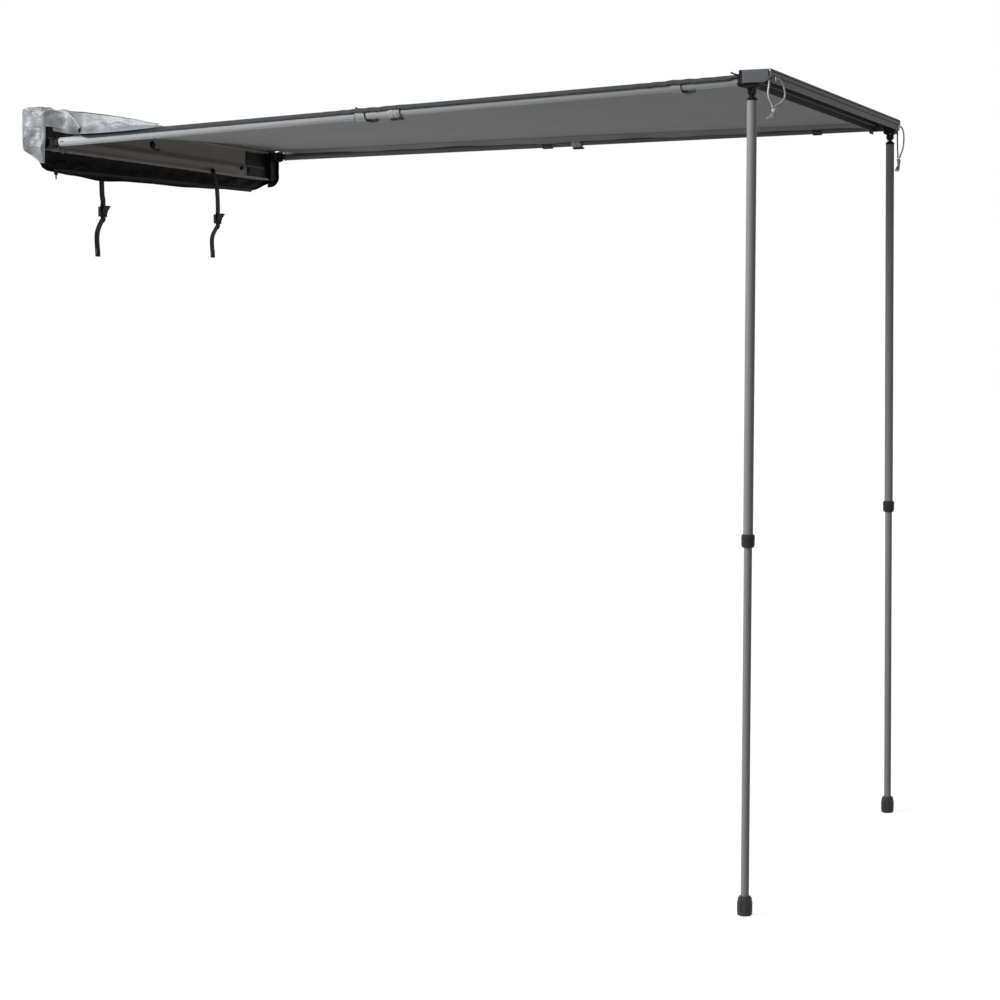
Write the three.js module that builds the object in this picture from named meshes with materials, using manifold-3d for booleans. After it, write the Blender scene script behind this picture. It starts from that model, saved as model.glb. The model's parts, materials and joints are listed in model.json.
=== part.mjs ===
// Roll-out awning for the side of a vehicle, opened out and standing on its two legs.
// Millimetres, +Z up. The origin is the centre of the back plate's rear face, +X runs along the plate
// from the near arm to the far arm, and the awning rolls out towards -Y.
import * as THREE from "three";
import { mergeVertices } from "three/addons/utils/BufferGeometryUtils.js";
import Module from "manifold-3d";

// The whole awning
const projection = 2000; // back plate's rear face to the front rail's inner face
const groundDrop = 1972; // back plate's centre down to the soles of the feet
const fitGap = 0.3; // between two pieces that seat on each other
const turnGap = 0.6; // beside a piece that turns
const cutRun = 2; // how far a cutting body runs past the face that it cuts

// Back plate
const plateLength = 1270;
const plateHeight = 100;
const plateWall = 8;
const plateStep = 6; // the lower part of the face stands proud by this much
const plateStepHeight = 42;
const lipReach = 24;
const lipThickness = 3;
const lipRise = 6;
const grooveRadius = 4.4; // groove that holds the canopy's bead
const grooveSlot = 4;
const grooveWall = 2.4;
const plateBoltRadius = 4;
const plateBoltHead = 8;
const plateBoltHeadHeight = 5;
const plateBoltShare = -0.045; // of the plate's length, from its middle

// Beads and canopy
const beadGap = 0.5;
const canopyThickness = 1.6;
const canopyInset = 2; // the canopy's edges stop this far inside the plate's and the rail's ends
const canopyNarrowShare = 0.037; // of the length, up to which it is as narrow as the plate
const canopyWideShare = 0.075; // of the length, from which it is as wide as the rail
const canopyRestRise = 18.5; // above the arm's middle, where the edge lies along the near arm
const canopyDipShare = 0.08; // of the length, over which the near edge comes down from the plate
const canopySpread = 1.2; // power by which the near edge's dip dies out across the width
const canopyArch = 4; // lift over the locks
const canopySag = 12;
const canopyColumns = 12;
const canopyRows = 27;

// Tubes of the arms and of the legs
const tubeRadius = 12;
const tubeWall = 1.4;
const slideGap = 0.6;
const innerWall = 1.4;
const tubeSides = 16;
const innerRadius = tubeRadius - tubeWall - slideGap;
const innerBore = innerRadius - innerWall;

// Twist locks
const collarRadius = 16.5;
const collarLength = 32;
const collarEdge = 3;
const collarStop = 4; // the outer tube ends this far past the collar's middle
const collarGap = 0.35;
const camLength = 25;
const camTaper = 4;

// Arms
const hingeSetback = 55; // hinge axis ahead of the plate's rear face
const nearRootLift = 15; // above the plate's bottom: the arms lie one above the other, folded in
const farRootDrop = 25; // below the plate's top
const nearTipRise = 42;
const farTipRise = 44;
const armTubeStart = 25; // hinge axis to the tube's end
const armLockAt = 1030; // hinge axis to the middle of the twist lock
const armInnerHidden = 116; // length of the inner tube behind the twist lock's middle
const armTipLength = 15;
const armTipGap = 1; // open pivot between the arm's tip and its seat on the rail
const eyeRadius = 10;
const eyeHeight = 18;
const armShank = 12;
const armFlange = 4;
const plugDepth = 18;
const hingePinRadius = 4;
const pinHead = 2.6;
const pinHeadHeight = 2.5;
const pinGap = 0.15;

// End brackets, which carry the arms
const armOffset = 15; // each arm's middle beyond the plate's end
const bracketWidth = 32;
const bracketDepth = 32;
const earThickness = 4;
const earRadius = 13;
const bracketCorner = 6;

// Front rail
const railOverhang = 20; // the rail's end beyond the middle of each arm and leg
const railDepth = 79;
const railHeight = 31;
const railRise = 35; // underside above the plate's centre
const railWall = 2.2;
const railRoof = 2.5;
const railBand = 1.4; // depth of the band along the outer face
const railBandLow = 13;
const railBandHigh = 23;
const railBandSlope = 1.2;
const railBossDepth = 12;
const railBossHeight = 15;
const railGrooveRise = 22;
const railGrooveInset = 6.4;
const ribThickness = 1.8;
const ribDrop = 8.5;
const capThickness = 4;
const capPlugDepth = 5.2;
const capPlugWidth = 12;
const capPlugHeight = 17;
const seatThickness = 3.6;
const seatHeight = 27;
const seatWidth = 28;

// Legs
const legLane = 15; // each leg's distance from the rail's middle, so that they fold in side by side
const nearLegSplay = 24; // a foot stands this far outside its pivot
const farLegSplay = 48;
const legPivotDrop = 20; // pivot below the rail's underside
const legTubeStart = 20; // pivot to the tube's end
const legLockAt = 1074;
const legInnerHidden = 104;
const tongueThickness = 5;
const tongueRadius = 8.5;
const legFlange = 4;
const flangeRadius = 13;
const cheekThickness = 4.4;
const cheekRadius = 9;
const legPinRadius = 3;
const blockWidth = 33;
const blockLength = 28;
const blockDrop = 10; // below the rail's underside
const blockNeck = 16;
const footHeight = 48;
const footTopRadius = 15;
const footRadius = 18.6;
const footFlare = 5;
const footSole = 4;
const footSides = 8;
const footSocket = 26;

// Cover
const coverThickness = 2;
const coverGap = 0.6;
const flapDropNear = 50; // lower flap, which hangs deeper at the near end
const flapDropFar = 32;
const flapCornerRise = 26; // of the lower flap's far corner
const flapCornerShare = 0.89; // of its length, from which it rises
const flapLean = 18;
const flapColumns = 32;
const flapRows = 4;
const foldDepth = 3.2;
const foldCount = 9;
const crownRise = 25; // folded upper flap above the plate's top
const crownDepth = 54;
const crownColumns = 44;
const crownRows = 8;
const crownFold = 5;
const crownEndDrop = 12;
const nearPanelGap = 0.6; // to the near bracket, at its nearest fold
const nearPanelDepth = 68;
const nearPanelSetback = 26;
const nearPanelTop = 54;
const nearPanelBottom = 94; // at its front edge
const nearPanelBottomBack = 46;
const nearPanelTaperShare = 0.1;
const nearPanelFold = 4.4;
const nearPanelCells = 11;
const farPanelDepth = 40;
const farPanelTop = 24;
const farPanelBottom = 68;
const farPanelCorner = 32;
const farPanelCells = 8;
const farPanelFold = 1.4;
const zipTape = 9;
const zipThickness = 1.8;
const zipNearInset = 30; // from the plate's end
const zipFarInset = 120;
const sliderLength = 12;
const sliderHeight = 7;
const sliderThickness = 6;
const pullLength = 12;
const pullWidth = 6;
const pullThickness = 1.6;

// Compression straps
const strapWidth = 25;
const strapThickness = 1.8;
const nearStrapX = -328;
const farStrapX = 268;
const buckleWidth = 34;
const buckleHeight = 28;
const buckleThickness = 9;
const nearBuckleDrop = 203;
const farBuckleDrop = 194;
const nearTailDrop = 330;
const farTailDrop = 312;
const tailSetback = 20; // the loose end hangs this far behind the buckle
const strapSteps = 12;

// Ties that hold the canopy's edges to the arms
const tieWidth = 25;
const tieThickness = 2;
const tieGap = 0.5;
const tieTail = 16;
const tieRearAt = 933;
const tieFrontInset = 157; // from the arm's tip

// Guy rope loops, hung by hand
const ropeRadius = 2.4;
const ropeSides = 8;
const ropeSteps = 18;
const nearInnerStrand = [
  [-667.6, -2072, 45.9],
  [-667.6, -2072, 41],
  [-667.8, -2072, 36],
  [-668.6, -2072, 31],
  [-670.4, -2072, 26],
  [-673.2, -2072, 21],
  [-676.4, -2072.2, 16],
  [-679.2, -2072.5, 10.5],
  [-680.6, -2073, 5],
  [-680.2, -2074.3, -1],
  [-677.8, -2076, -7],
  [-674.4, -2078, -12.5],
  [-671, -2079.6, -17],
  [-669, -2080.5, -21],
  [-668.4, -2080.8, -24],
  [-668.4, -2080.8, -27],
];
const nearOuterStrand = [
  [-640, -2079.4, 45],
  [-640, -2083, 45],
  [-639.8, -2087, 44],
  [-639.2, -2090.5, 41],
  [-638.4, -2093.5, 36.5],
  [-637.5, -2096.3, 31],
  [-636.8, -2098.8, 24.5],
  [-636.3, -2100.8, 17.5],
  [-636.2, -2101.8, 10.5],
  [-636.8, -2101.6, 3.5],
  [-638.4, -2100, -3],
  [-641.4, -2097.4, -8.8],
  [-645.8, -2094, -13.4],
  [-651, -2090.6, -16.8],
  [-656, -2087.8, -19.2],
  [-659.8, -2085.9, -21.4],
  [-661.6, -2085.4, -24],
  [-661.6, -2085.4, -27],
];
const farInnerStrand = [
  [667.6, -2072, 45.9],
  [667.6, -2072, 40],
  [667.6, -2072, 34],
  [667.3, -2072, 28],
  [666.6, -2072.2, 21.5],
  [665.4, -2072.6, 15],
  [663.8, -2073, 8.5],
  [661.8, -2073.5, 2],
  [659.6, -2074.2, -4.5],
  [657.2, -2075, -11],
  [654.6, -2075.8, -17.5],
  [651.8, -2076.8, -24],
  [648.8, -2077.8, -30],
  [645.8, -2078.7, -35.5],
  [643.9, -2079.2, -40.5],
  [643.4, -2079.3, -46],
];
const farOuterStrand = [
  [656, -2079.4, 45],
  [656, -2083, 45],
  [656.2, -2086.2, 43.4],
  [656.8, -2088.8, 39.6],
  [657.8, -2090.6, 34],
  [658.9, -2091.7, 27.5],
  [659.9, -2092.3, 20.5],
  [660.6, -2092.5, 13.5],
  [661, -2092.5, 6],
  [660.9, -2092.2, -1.5],
  [660.3, -2091.6, -9],
  [659, -2090.6, -16.5],
  [657, -2089.2, -23.5],
  [654.3, -2087.3, -30],
  [651.3, -2085.3, -36],
  [649.4, -2084, -41],
  [649, -2083.6, -46],
];
const nearKnot = [-665, -2083, -27.3];
const farKnot = [646.2, -2081.3, -46.3];
const nearKnotRadii = [6, 5.6, 7, 8.6, 10];
const nearKnotDrops = [0, 5, 9, 16, 24];
const farKnotRadii = [5.4, 3.6, 3.4, 8, 9, 7, 3, 4.4];
const farKnotDrops = [0, 4, 11, 15, 20, 25, 28, 38];
const knotSides = 10;

// Worked out from the sizes above
const plateTop = plateHeight / 2;
const plateBottom = -plateHeight / 2;
const grooveInset = plateWall + grooveRadius + plateStep;
const grooveRise = plateTop - grooveWall - grooveRadius;
const beadRadius = grooveRadius - beadGap;
const plateFront = grooveInset + grooveRadius + grooveWall;
const railInner = -projection;
const railMiddle = railInner - railDepth / 2;
const railOuter = railInner - railDepth;
const railTop = railRise + railHeight;
const railGroove = railRise + railGrooveRise;
const armX = plateLength / 2 + armOffset; // the legs stand there too
const railHalf = armX + railOverhang; // half the length of the extrusion
const legPivot = railRise - legPivotDrop;
const seatTop = railGroove - grooveSlot / 2 - fitGap; // the canopy runs out over the seats
const eyeGap = turnGap;
const hinge = { near: plateBottom + nearRootLift, far: plateTop - farRootDrop };
const tip = { near: nearTipRise, far: farTipRise };
const sign = { near: -1, far: 1 };
const splay = { near: nearLegSplay, far: farLegSplay };
const tipAt = projection - hingeSetback - seatThickness - fitGap - armTipGap;

const wasm = await Module();
wasm.setup();

// Paints and materials
function finish(color, roughness, metalness) {
  return new THREE.MeshStandardMaterial({ color, roughness, metalness });
}

const looks = {
  plate: finish(0x55504c, 0.55, 0.6),
  rail: finish(0x3f3b38, 0.5, 0.6),
  tube: finish(0x8b9093, 0.35, 0.85),
  cap: finish(0x565d62, 0.55, 0.2),
  black: finish(0x161616, 0.5, 0.1),
  rubber: finish(0x1b1b1b, 0.8, 0),
  fabric: finish(0x66696a, 0.9, 0),
  silver: finish(0x9a9da2, 0.6, 0.1),
  lining: finish(0x141414, 0.85, 0),
  webbing: finish(0x1c1c1c, 0.9, 0),
  rope: finish(0xd8d4c8, 0.95, 0),
  steel: finish(0xb0b2b4, 0.3, 0.9),
};

// A closed geometry as a solid for joining and cutting
function solidOf(geometry) {
  const bare = geometry.clone();
  bare.deleteAttribute("normal");
  bare.deleteAttribute("uv");
  const merged = mergeVertices(bare);
  const index = merged.index.array;
  const kept = [];
  for (let i = 0; i < index.length; i += 3) {
    const [a, b, c] = [index[i], index[i + 1], index[i + 2]];
    if (a !== b && b !== c && c !== a) kept.push(a, b, c);
  }
  const vertProperties = new Float32Array(merged.attributes.position.array);
  const triVerts = new Uint32Array(kept);
  return new wasm.Manifold(new wasm.Mesh({ numProp: 3, vertProperties, triVerts }));
}

function geometryOf(solid) {
  const mesh = solid.getMesh();
  const geometry = new THREE.BufferGeometry();
  geometry.setAttribute("position", new THREE.BufferAttribute(new Float32Array(mesh.vertProperties), 3));
  geometry.setIndex(new THREE.BufferAttribute(new Uint32Array(mesh.triVerts), 1));
  geometry.computeVertexNormals();
  return geometry;
}

function joined(...geometries) {
  return geometryOf(geometries.map(solidOf).reduce((sum, next) => sum.add(next)));
}

function cut(body, ...tools) {
  return geometryOf(tools.map(solidOf).reduce((rest, tool) => rest.subtract(tool), solidOf(body)));
}

// A profile of [radius, height] points turned about Y
function turned(profile, sides) {
  let area = 0;
  for (let i = 0; i < profile.length; i++) {
    const [r, h] = profile[i];
    const [nextR, nextH] = profile[(i + 1) % profile.length];
    area += r * nextH - nextR * h;
  }
  const ordered = area > 0 ? profile : [...profile].reverse();
  const points = [...ordered, ordered[0]].map(([r, h]) => new THREE.Vector2(r, h));
  return geometryOf(solidOf(new THREE.LatheGeometry(points, sides)));
}

function ring(bore, radius, from, to, sides) {
  const profile = [
    [bore, from],
    [radius, from],
    [radius, to],
    [bore, to],
  ];
  return turned(profile, sides);
}

function rod(radius, from, to, sides) {
  return ring(0, radius, from, to, sides);
}

function box(low, high) {
  const size = high.map((value, i) => value - low[i]);
  const geometry = new THREE.BoxGeometry(...size);
  return geometry.translate(...high.map((value, i) => (value + low[i]) / 2));
}

// An outline of [y, z] points drawn out along X
function alongX(outline, from, to) {
  const shape = new THREE.Shape(outline.map(([y, z]) => new THREE.Vector2(y, z)));
  const geometry = new THREE.ExtrudeGeometry(shape, { depth: to - from, bevelEnabled: false, steps: 1 });
  const turn = new THREE.Matrix4().makeBasis(
    new THREE.Vector3(0, 1, 0),
    new THREE.Vector3(0, 0, 1),
    new THREE.Vector3(1, 0, 0),
  );
  return geometry.applyMatrix4(turn).translate(from, 0, 0);
}

// A rod along X at [y, z]
function rodAlongX(radius, y, z, from, to, sides) {
  return rod(radius, from, to, sides).rotateZ(-Math.PI / 2).translate(0, y, z);
}

// A thin sheet of even thickness along a surface that is given point by point
function sheet(pointAt, columns, rows, thickness) {
  const points = [];
  const step = 1 / Math.max(columns, rows) / 4;
  for (const face of [1, -1]) {
    for (let j = 0; j <= rows; j++) {
      for (let i = 0; i <= columns; i++) {
        const u = i / columns;
        const v = j / rows;
        const across = pointAt(Math.min(u + step, 1), v).sub(pointAt(Math.max(u - step, 0), v));
        const down = pointAt(u, Math.min(v + step, 1)).sub(pointAt(u, Math.max(v - step, 0)));
        const normal = across.cross(down).normalize();
        points.push(pointAt(u, v).addScaledVector(normal, (face * thickness) / 2));
      }
    }
  }
  const width = columns + 1;
  const layer = width * (rows + 1);
  const faces = [];
  const quad = (a, b, c, d) => faces.push(a, b, c, a, c, d);
  for (let j = 0; j < rows; j++) {
    for (let i = 0; i < columns; i++) {
      const a = j * width + i;
      quad(a, a + 1, a + 1 + width, a + width);
      quad(layer + a + width, layer + a + 1 + width, layer + a + 1, layer + a);
    }
  }
  for (let i = 0; i < columns; i++) {
    const last = rows * width + i;
    quad(layer + i, layer + i + 1, i + 1, i);
    quad(last, last + 1, layer + last + 1, layer + last);
  }
  for (let j = 0; j < rows; j++) {
    const left = j * width;
    const right = left + columns;
    quad(left, left + width, layer + left + width, layer + left);
    quad(layer + right, layer + right + width, right + width, right);
  }
  const geometry = new THREE.BufferGeometry();
  geometry.setAttribute("position", new THREE.Float32BufferAttribute(points.flatMap((p) => p.toArray()), 3));
  geometry.setIndex(faces);
  return geometry;
}

const awning = new THREE.Group();

function add(parent, name, geometry, look) {
  const mesh = new THREE.Mesh(geometry, looks[look]);
  mesh.name = name;
  parent.add(mesh);
}

function mix(from, to, share) {
  return from + (to - from) * share;
}

// Back plate: one extrusion with a stepped face, a lip along the bottom and the bead's groove on top
function backPlate() {
  const half = plateLength / 2;
  const stepTop = plateBottom + plateStepHeight;
  const grooveFloor = grooveRise - grooveRadius - grooveWall;
  const outline = [
    [0, plateBottom],
    [0, plateTop],
    [-plateFront, plateTop],
    [-plateFront, grooveFloor],
    [-plateWall, grooveFloor],
    [-plateWall, stepTop],
    [-plateWall - plateStep, stepTop - plateStep],
    [-plateWall - plateStep, plateBottom + lipThickness],
    [-lipReach + lipThickness, plateBottom + lipThickness],
    [-lipReach + lipThickness, plateBottom + lipRise],
    [-lipReach, plateBottom + lipRise],
    [-lipReach, plateBottom],
  ].reverse();
  const body = alongX(outline, -half, half);
  const bore = rodAlongX(grooveRadius, -grooveInset, grooveRise, -half - cutRun, half + cutRun, tubeSides);
  const slotLow = grooveRise - grooveSlot / 2;
  const slot = box(
    [-half - cutRun, -plateFront - cutRun, slotLow],
    [half + cutRun, -grooveInset, slotLow + grooveSlot],
  );
  add(awning, "back_plate", cut(body, bore, slot, boltHole()), "plate");
}

function boltHeight() {
  return plateBottom + (plateStepHeight + plateHeight - plateFront) / 2;
}

function boltHole() {
  const hole = rod(plateBoltRadius + fitGap, -cutRun, plateWall + plateStep + cutRun, tubeSides);
  return hole.rotateZ(Math.PI).translate(plateBoltShare * plateLength, 0, boltHeight());
}

// Bolt through the plate, with a round black head on its face
function plateBolt() {
  const face = plateWall + fitGap;
  const profile = [
    [0, fitGap],
    [plateBoltRadius, fitGap],
    [plateBoltRadius, face],
    [plateBoltHead, face],
    [plateBoltHead, face + plateBoltHeadHeight / 2],
    [plateBoltRadius, face + plateBoltHeadHeight],
    [0, face + plateBoltHeadHeight],
  ];
  const bolt = turned(profile, tubeSides).rotateZ(Math.PI);
  add(awning, "plate_bolt", bolt.translate(plateBoltShare * plateLength, 0, boltHeight()), "black");
}

// Each arm's own frame: Y runs out along the arm and Z is its hinge axis
function armFrame(side) {
  const rise = tip[side] - hinge[side];
  const slope = Math.atan2(rise, projection - hingeSetback);
  const group = new THREE.Group();
  const along = new THREE.Vector3(0, -Math.cos(slope), Math.sin(slope));
  const axis = new THREE.Vector3(0, Math.sin(slope), Math.cos(slope));
  const basis = new THREE.Matrix4().makeBasis(new THREE.Vector3(-1, 0, 0), along, axis);
  group.quaternion.setFromRotationMatrix(basis);
  group.position.set(sign[side] * armX, -hingeSetback, hinge[side]);
  group.updateMatrix();
  awning.add(group);
  return group;
}

// End brackets: castings that close the plate's ends and carry the arms between two ears
function endBracket(side, frame) {
  const inner = plateLength / 2 + fitGap;
  const outer = inner + bracketWidth;
  const [low, high] = side === "near" ? [-outer, -inner] : [inner, outer];
  const outline = [
    [0, plateBottom],
    [0, plateTop],
    [-bracketDepth + bracketCorner, plateTop],
    [-bracketDepth, plateTop - bracketCorner],
    [-bracketDepth, plateBottom + bracketCorner],
    [-bracketDepth + bracketCorner, plateBottom],
  ].reverse();
  const body = alongX(outline, low, high);
  const ears = [];
  for (const up of [1, -1]) {
    const near = up * (eyeHeight / 2 + eyeGap);
    const away = near + up * earThickness;
    const [bottom, top] = [Math.min(near, away), Math.max(near, away)];
    const disc = rod(earRadius, bottom, top, tubeSides).rotateX(Math.PI / 2);
    const arm = box([-earRadius, bracketDepth - hingeSetback - cutRun, bottom], [earRadius, 0, top]);
    ears.push(joined(disc, arm).applyMatrix4(frame.matrix));
  }
  const reach = eyeHeight / 2 + eyeGap + earThickness + pinHeadHeight + cutRun;
  const hole = rod(hingePinRadius + pinGap, -reach, reach, tubeSides).rotateX(Math.PI / 2);
  hole.applyMatrix4(frame.matrix);
  add(awning, `${side}_end_bracket`, cut(joined(body, ...ears), hole), "black");
}

// A headed pin along Z
function headedPin(radius, grip) {
  const head = radius + pinHead;
  const end = grip / 2 + fitGap;
  const profile = [
    [0, -end - pinHeadHeight],
    [head, -end - pinHeadHeight],
    [head, -end],
    [radius, -end],
    [radius, end],
    [head, end],
    [head, end + pinHeadHeight],
    [0, end + pinHeadHeight],
  ];
  return turned(profile, tubeSides).rotateX(Math.PI / 2);
}

// Knuckle at a tube's root: an eye on the pin, a flange and a plug in the tube
function knuckle(radius, thickness, pin, shank, tubeStart, flange) {
  const eye = rod(radius, -thickness / 2, thickness / 2, tubeSides).rotateX(Math.PI / 2);
  const neck = box([-shank / 2, 0, -thickness / 2], [shank / 2, tubeStart - flange, thickness / 2]);
  const plugRadius = tubeRadius - tubeWall - fitGap;
  const profile = [
    [0, tubeStart - flange - fitGap],
    [flangeRadius, tubeStart - flange - fitGap],
    [flangeRadius, tubeStart - fitGap],
    [plugRadius, tubeStart - fitGap],
    [plugRadius, tubeStart + plugDepth],
    [0, tubeStart + plugDepth],
  ];
  const hole = rod(pin + pinGap, -thickness, thickness, tubeSides).rotateX(Math.PI / 2);
  return cut(joined(eye, neck, turned(profile, tubeSides)), hole);
}

// A telescopic tube pair with its twist lock, along Y from the pivot
function telescope(frame, name, tubeStart, lockAt, hidden, innerEnd) {
  const outerEnd = lockAt + collarStop;
  const innerStart = lockAt - hidden;
  const outerBore = tubeRadius - tubeWall;
  add(frame, `${name}_outer_tube`, ring(outerBore, tubeRadius, tubeStart, outerEnd, tubeSides), "tube");
  add(frame, `${name}_inner_tube`, ring(innerBore, innerRadius, innerStart, innerEnd, tubeSides), "tube");
  const start = lockAt - collarLength / 2;
  const end = lockAt + collarLength / 2;
  const profile = [
    [tubeRadius + collarGap, start],
    [collarRadius - collarEdge, start],
    [collarRadius, start + collarEdge],
    [collarRadius, end - 2 * collarEdge],
    [collarRadius - collarEdge, end],
    [innerRadius + collarGap, end],
    [innerRadius + collarGap, outerEnd + fitGap],
    [tubeRadius + collarGap, outerEnd + fitGap],
  ];
  add(frame, `${name}_lock_collar`, turned(profile, tubeSides), "black");
  const camRadius = innerRadius + slideGap / 3;
  const camEnd = innerStart - fitGap;
  const camProfile = [
    [0, camEnd - camLength],
    [camRadius - camTaper, camEnd - camLength],
    [camRadius, camEnd - camLength + camTaper],
    [camRadius, camEnd],
    [innerBore - fitGap, camEnd],
    [innerBore - fitGap, camEnd + camTaper],
    [0, camEnd + camTaper],
  ];
  add(frame, `${name}_lock_cam`, turned(camProfile, tubeSides), "black");
}

// One arm, from its hinge at the plate to the seat on the rail
function arm(side) {
  const frame = armFrame(side);
  const name = `${side}_arm`;
  endBracket(side, frame);
  const root = knuckle(eyeRadius, eyeHeight, hingePinRadius, armShank, armTubeStart, armFlange);
  add(frame, `${name}_knuckle`, root, "black");
  const grip = eyeHeight + 2 * (eyeGap + earThickness);
  add(frame, `${name}_hinge_pin`, headedPin(hingePinRadius, grip), "steel");
  const innerEnd = tipAt - armTipLength;
  telescope(frame, name, armTubeStart, armLockAt, armInnerHidden, innerEnd);
  const plug = innerBore - fitGap;
  const profile = [
    [0, innerEnd - plugDepth],
    [plug, innerEnd - plugDepth],
    [plug, innerEnd + fitGap],
    [innerRadius, innerEnd + fitGap],
    [innerRadius, tipAt - collarEdge],
    [innerRadius - collarEdge, tipAt],
    [0, tipAt],
  ];
  add(frame, `${name}_tip_plug`, turned(profile, tubeSides), "black");
  canopyTie(frame, `${side}_canopy_tie_rear`, tieRearAt, tubeRadius);
  canopyTie(frame, `${side}_canopy_tie_front`, tipAt - tieFrontInset, innerRadius);
}

// Tie: a band round the arm, with its end hanging and a tab up to the canopy's edge
function canopyTie(frame, name, at, radius) {
  const bore = radius + tieGap;
  const band = ring(bore, bore + tieThickness, at - tieWidth / 2, at + tieWidth / 2, tubeSides);
  const tail = box(
    [-tieThickness / 2, at - tieWidth / 2, -bore - tieThickness / 2 - tieTail],
    [tieThickness / 2, at + tieWidth / 2, -bore - tieThickness / 2],
  );
  add(frame, name, joined(band, tail), "webbing");
}

// Height of an arm's middle at a distance out from the plate
function armHeight(side, reach) {
  return mix(hinge[side], tip[side], (reach - hingeSetback) / (projection - hingeSetback));
}

// Canopy: near edge down on the near arm, far edge level over the far arm, a slight sag between
function canopyPoint(u, v) {
  const spread = THREE.MathUtils.smoothstep(v, canopyNarrowShare, canopyWideShare);
  const half = mix(plateLength / 2, railHalf, spread) - canopyInset;
  const back = grooveInset + beadRadius + fitGap;
  const front = projection + railGrooveInset - beadRadius - fitGap;
  const reach = mix(back, front, v);
  const level = mix(grooveRise, railGroove, v) + canopyArch * Math.sin(Math.PI * v);
  const onArm = armHeight("near", reach) + canopyRestRise;
  const backShare = 1 - THREE.MathUtils.smoothstep(v, 0, canopyDipShare);
  const onPlate = grooveRise - armHeight("near", back) - canopyRestRise;
  const frontRise = railGroove - armHeight("near", front) - canopyRestRise;
  const edge = onArm + onPlate * backShare + frontRise * v ** 2;
  const sag = canopySag * Math.sin(Math.PI * u) * Math.sin(Math.PI * v);
  const height = level + (edge - level) * (1 - u) ** canopySpread - sag;
  return new THREE.Vector3(mix(-half, half, u), -reach, height);
}

function canopy() {
  add(awning, "canopy", sheet(canopyPoint, canopyColumns, canopyRows, canopyThickness), "fabric");
  const half = plateLength / 2;
  const rear = rodAlongX(beadRadius, -grooveInset, grooveRise, -half, half, knotSides);
  add(awning, "plate_bead", rear, "webbing");
  const y = railInner - railGrooveInset;
  const front = rodAlongX(beadRadius, y, railGroove, -railHalf, railHalf, knotSides);
  add(awning, "rail_bead", front, "webbing");
}

// Front rail: an open channel beneath, a rib, and the bead's groove in its inner wall
function frontRail() {
  const at = (inset, rise) => [railInner - inset, railRise + rise];
  const inside = railDepth - railWall - railBand;
  const roof = railHeight - railRoof;
  const ribFrom = (railDepth - ribThickness) / 2;
  const outline = [
    at(0, 0),
    at(0, railHeight),
    at(railDepth, railHeight),
    at(railDepth, railBandHigh),
    at(railDepth - railBand, railBandHigh - railBandSlope),
    at(railDepth - railBand, railBandLow + railBandSlope),
    at(railDepth, railBandLow),
    at(railDepth, 0),
    at(inside, 0),
    at(inside, roof),
    at(ribFrom + ribThickness, roof),
    at(ribFrom + ribThickness, roof - ribDrop),
    at(ribFrom, roof - ribDrop),
    at(ribFrom, roof),
    at(railBossDepth, roof),
    at(railBossDepth, railBossHeight),
    at(railWall, railBossHeight),
    at(railWall, 0),
  ].reverse();
  const body = alongX(outline, -railHalf, railHalf);
  const run = railHalf + cutRun;
  const bore = rodAlongX(grooveRadius, railInner - railGrooveInset, railGroove, -run, run, tubeSides);
  const slot = box(
    [-run, railInner - railGrooveInset, railGroove - grooveSlot / 2],
    [run, railInner + cutRun, railGroove + grooveSlot / 2],
  );
  add(awning, "front_rail", cut(body, bore, slot), "rail");
}

// End caps: a plate over the rail's end, the seat for the arm's tip on the rail's inner face, and a
// block inside that the guy rope is tied to
function railCap(side) {
  const s = sign[side];
  const inner = railHalf + fitGap;
  const outer = inner + capThickness;
  const between = (a, b) => [Math.min(s * a, s * b), Math.max(s * a, s * b)];
  const [faceLow, faceHigh] = between(inner, outer);
  const face = box([faceLow, railOuter, railRise], [faceHigh, railInner + fitGap, railTop]);
  const blockOuter = railInner - (railDepth - railWall - railBand - fitGap);
  const blockTop = railTop - railRoof - fitGap;
  const [blockLow, blockHigh] = between(railHalf - capPlugDepth, outer);
  const block = box(
    [blockLow, blockOuter, blockTop - capPlugHeight],
    [blockHigh, blockOuter + capPlugWidth, blockTop],
  );
  const [seatLow, seatHigh] = between(armX - seatWidth / 2, outer);
  const seat = box(
    [seatLow, railInner + fitGap, seatTop - seatHeight],
    [seatHigh, railInner + fitGap + seatThickness, seatTop],
  );
  add(awning, `${side}_rail_cap`, joined(face, block, seat), "cap");
}

function laneOf(side) {
  return railMiddle - sign[side] * legLane;
}

// Leg bracket: a block in the rail's channel with two cheeks below it
function legBracket(side) {
  const x = sign[side] * armX;
  const y = laneOf(side);
  const bottom = railRise - blockDrop;
  const top = railTop - railRoof - fitGap;
  const shoulder = railRise + railBossHeight - fitGap;
  const lower = box([-blockLength / 2, -blockWidth / 2, bottom], [blockLength / 2, blockWidth / 2, shoulder]);
  const neck = box([-blockLength / 2, -blockNeck / 2, bottom], [blockLength / 2, blockNeck / 2, top]);
  const cheeks = [];
  for (const out of [1, -1]) {
    const near = out * (tongueThickness / 2 + turnGap);
    const away = near + out * cheekThickness;
    const [low, high] = [Math.min(near, away), Math.max(near, away)];
    const disc = rod(cheekRadius, low, high, tubeSides).rotateY(Math.PI / tubeSides);
    const stem = box([-cheekRadius, low, 0], [cheekRadius, high, bottom - legPivot + fitGap]);
    cheeks.push(joined(disc, stem).translate(0, 0, legPivot));
  }
  const reach = blockWidth / 2;
  const hole = rod(legPinRadius + pinGap, -reach, reach, tubeSides).translate(0, 0, legPivot);
  const body = cut(joined(lower, neck, ...cheeks), hole);
  add(awning, `${side}_leg_bracket`, body.translate(x, y, 0), "black");
}

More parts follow.
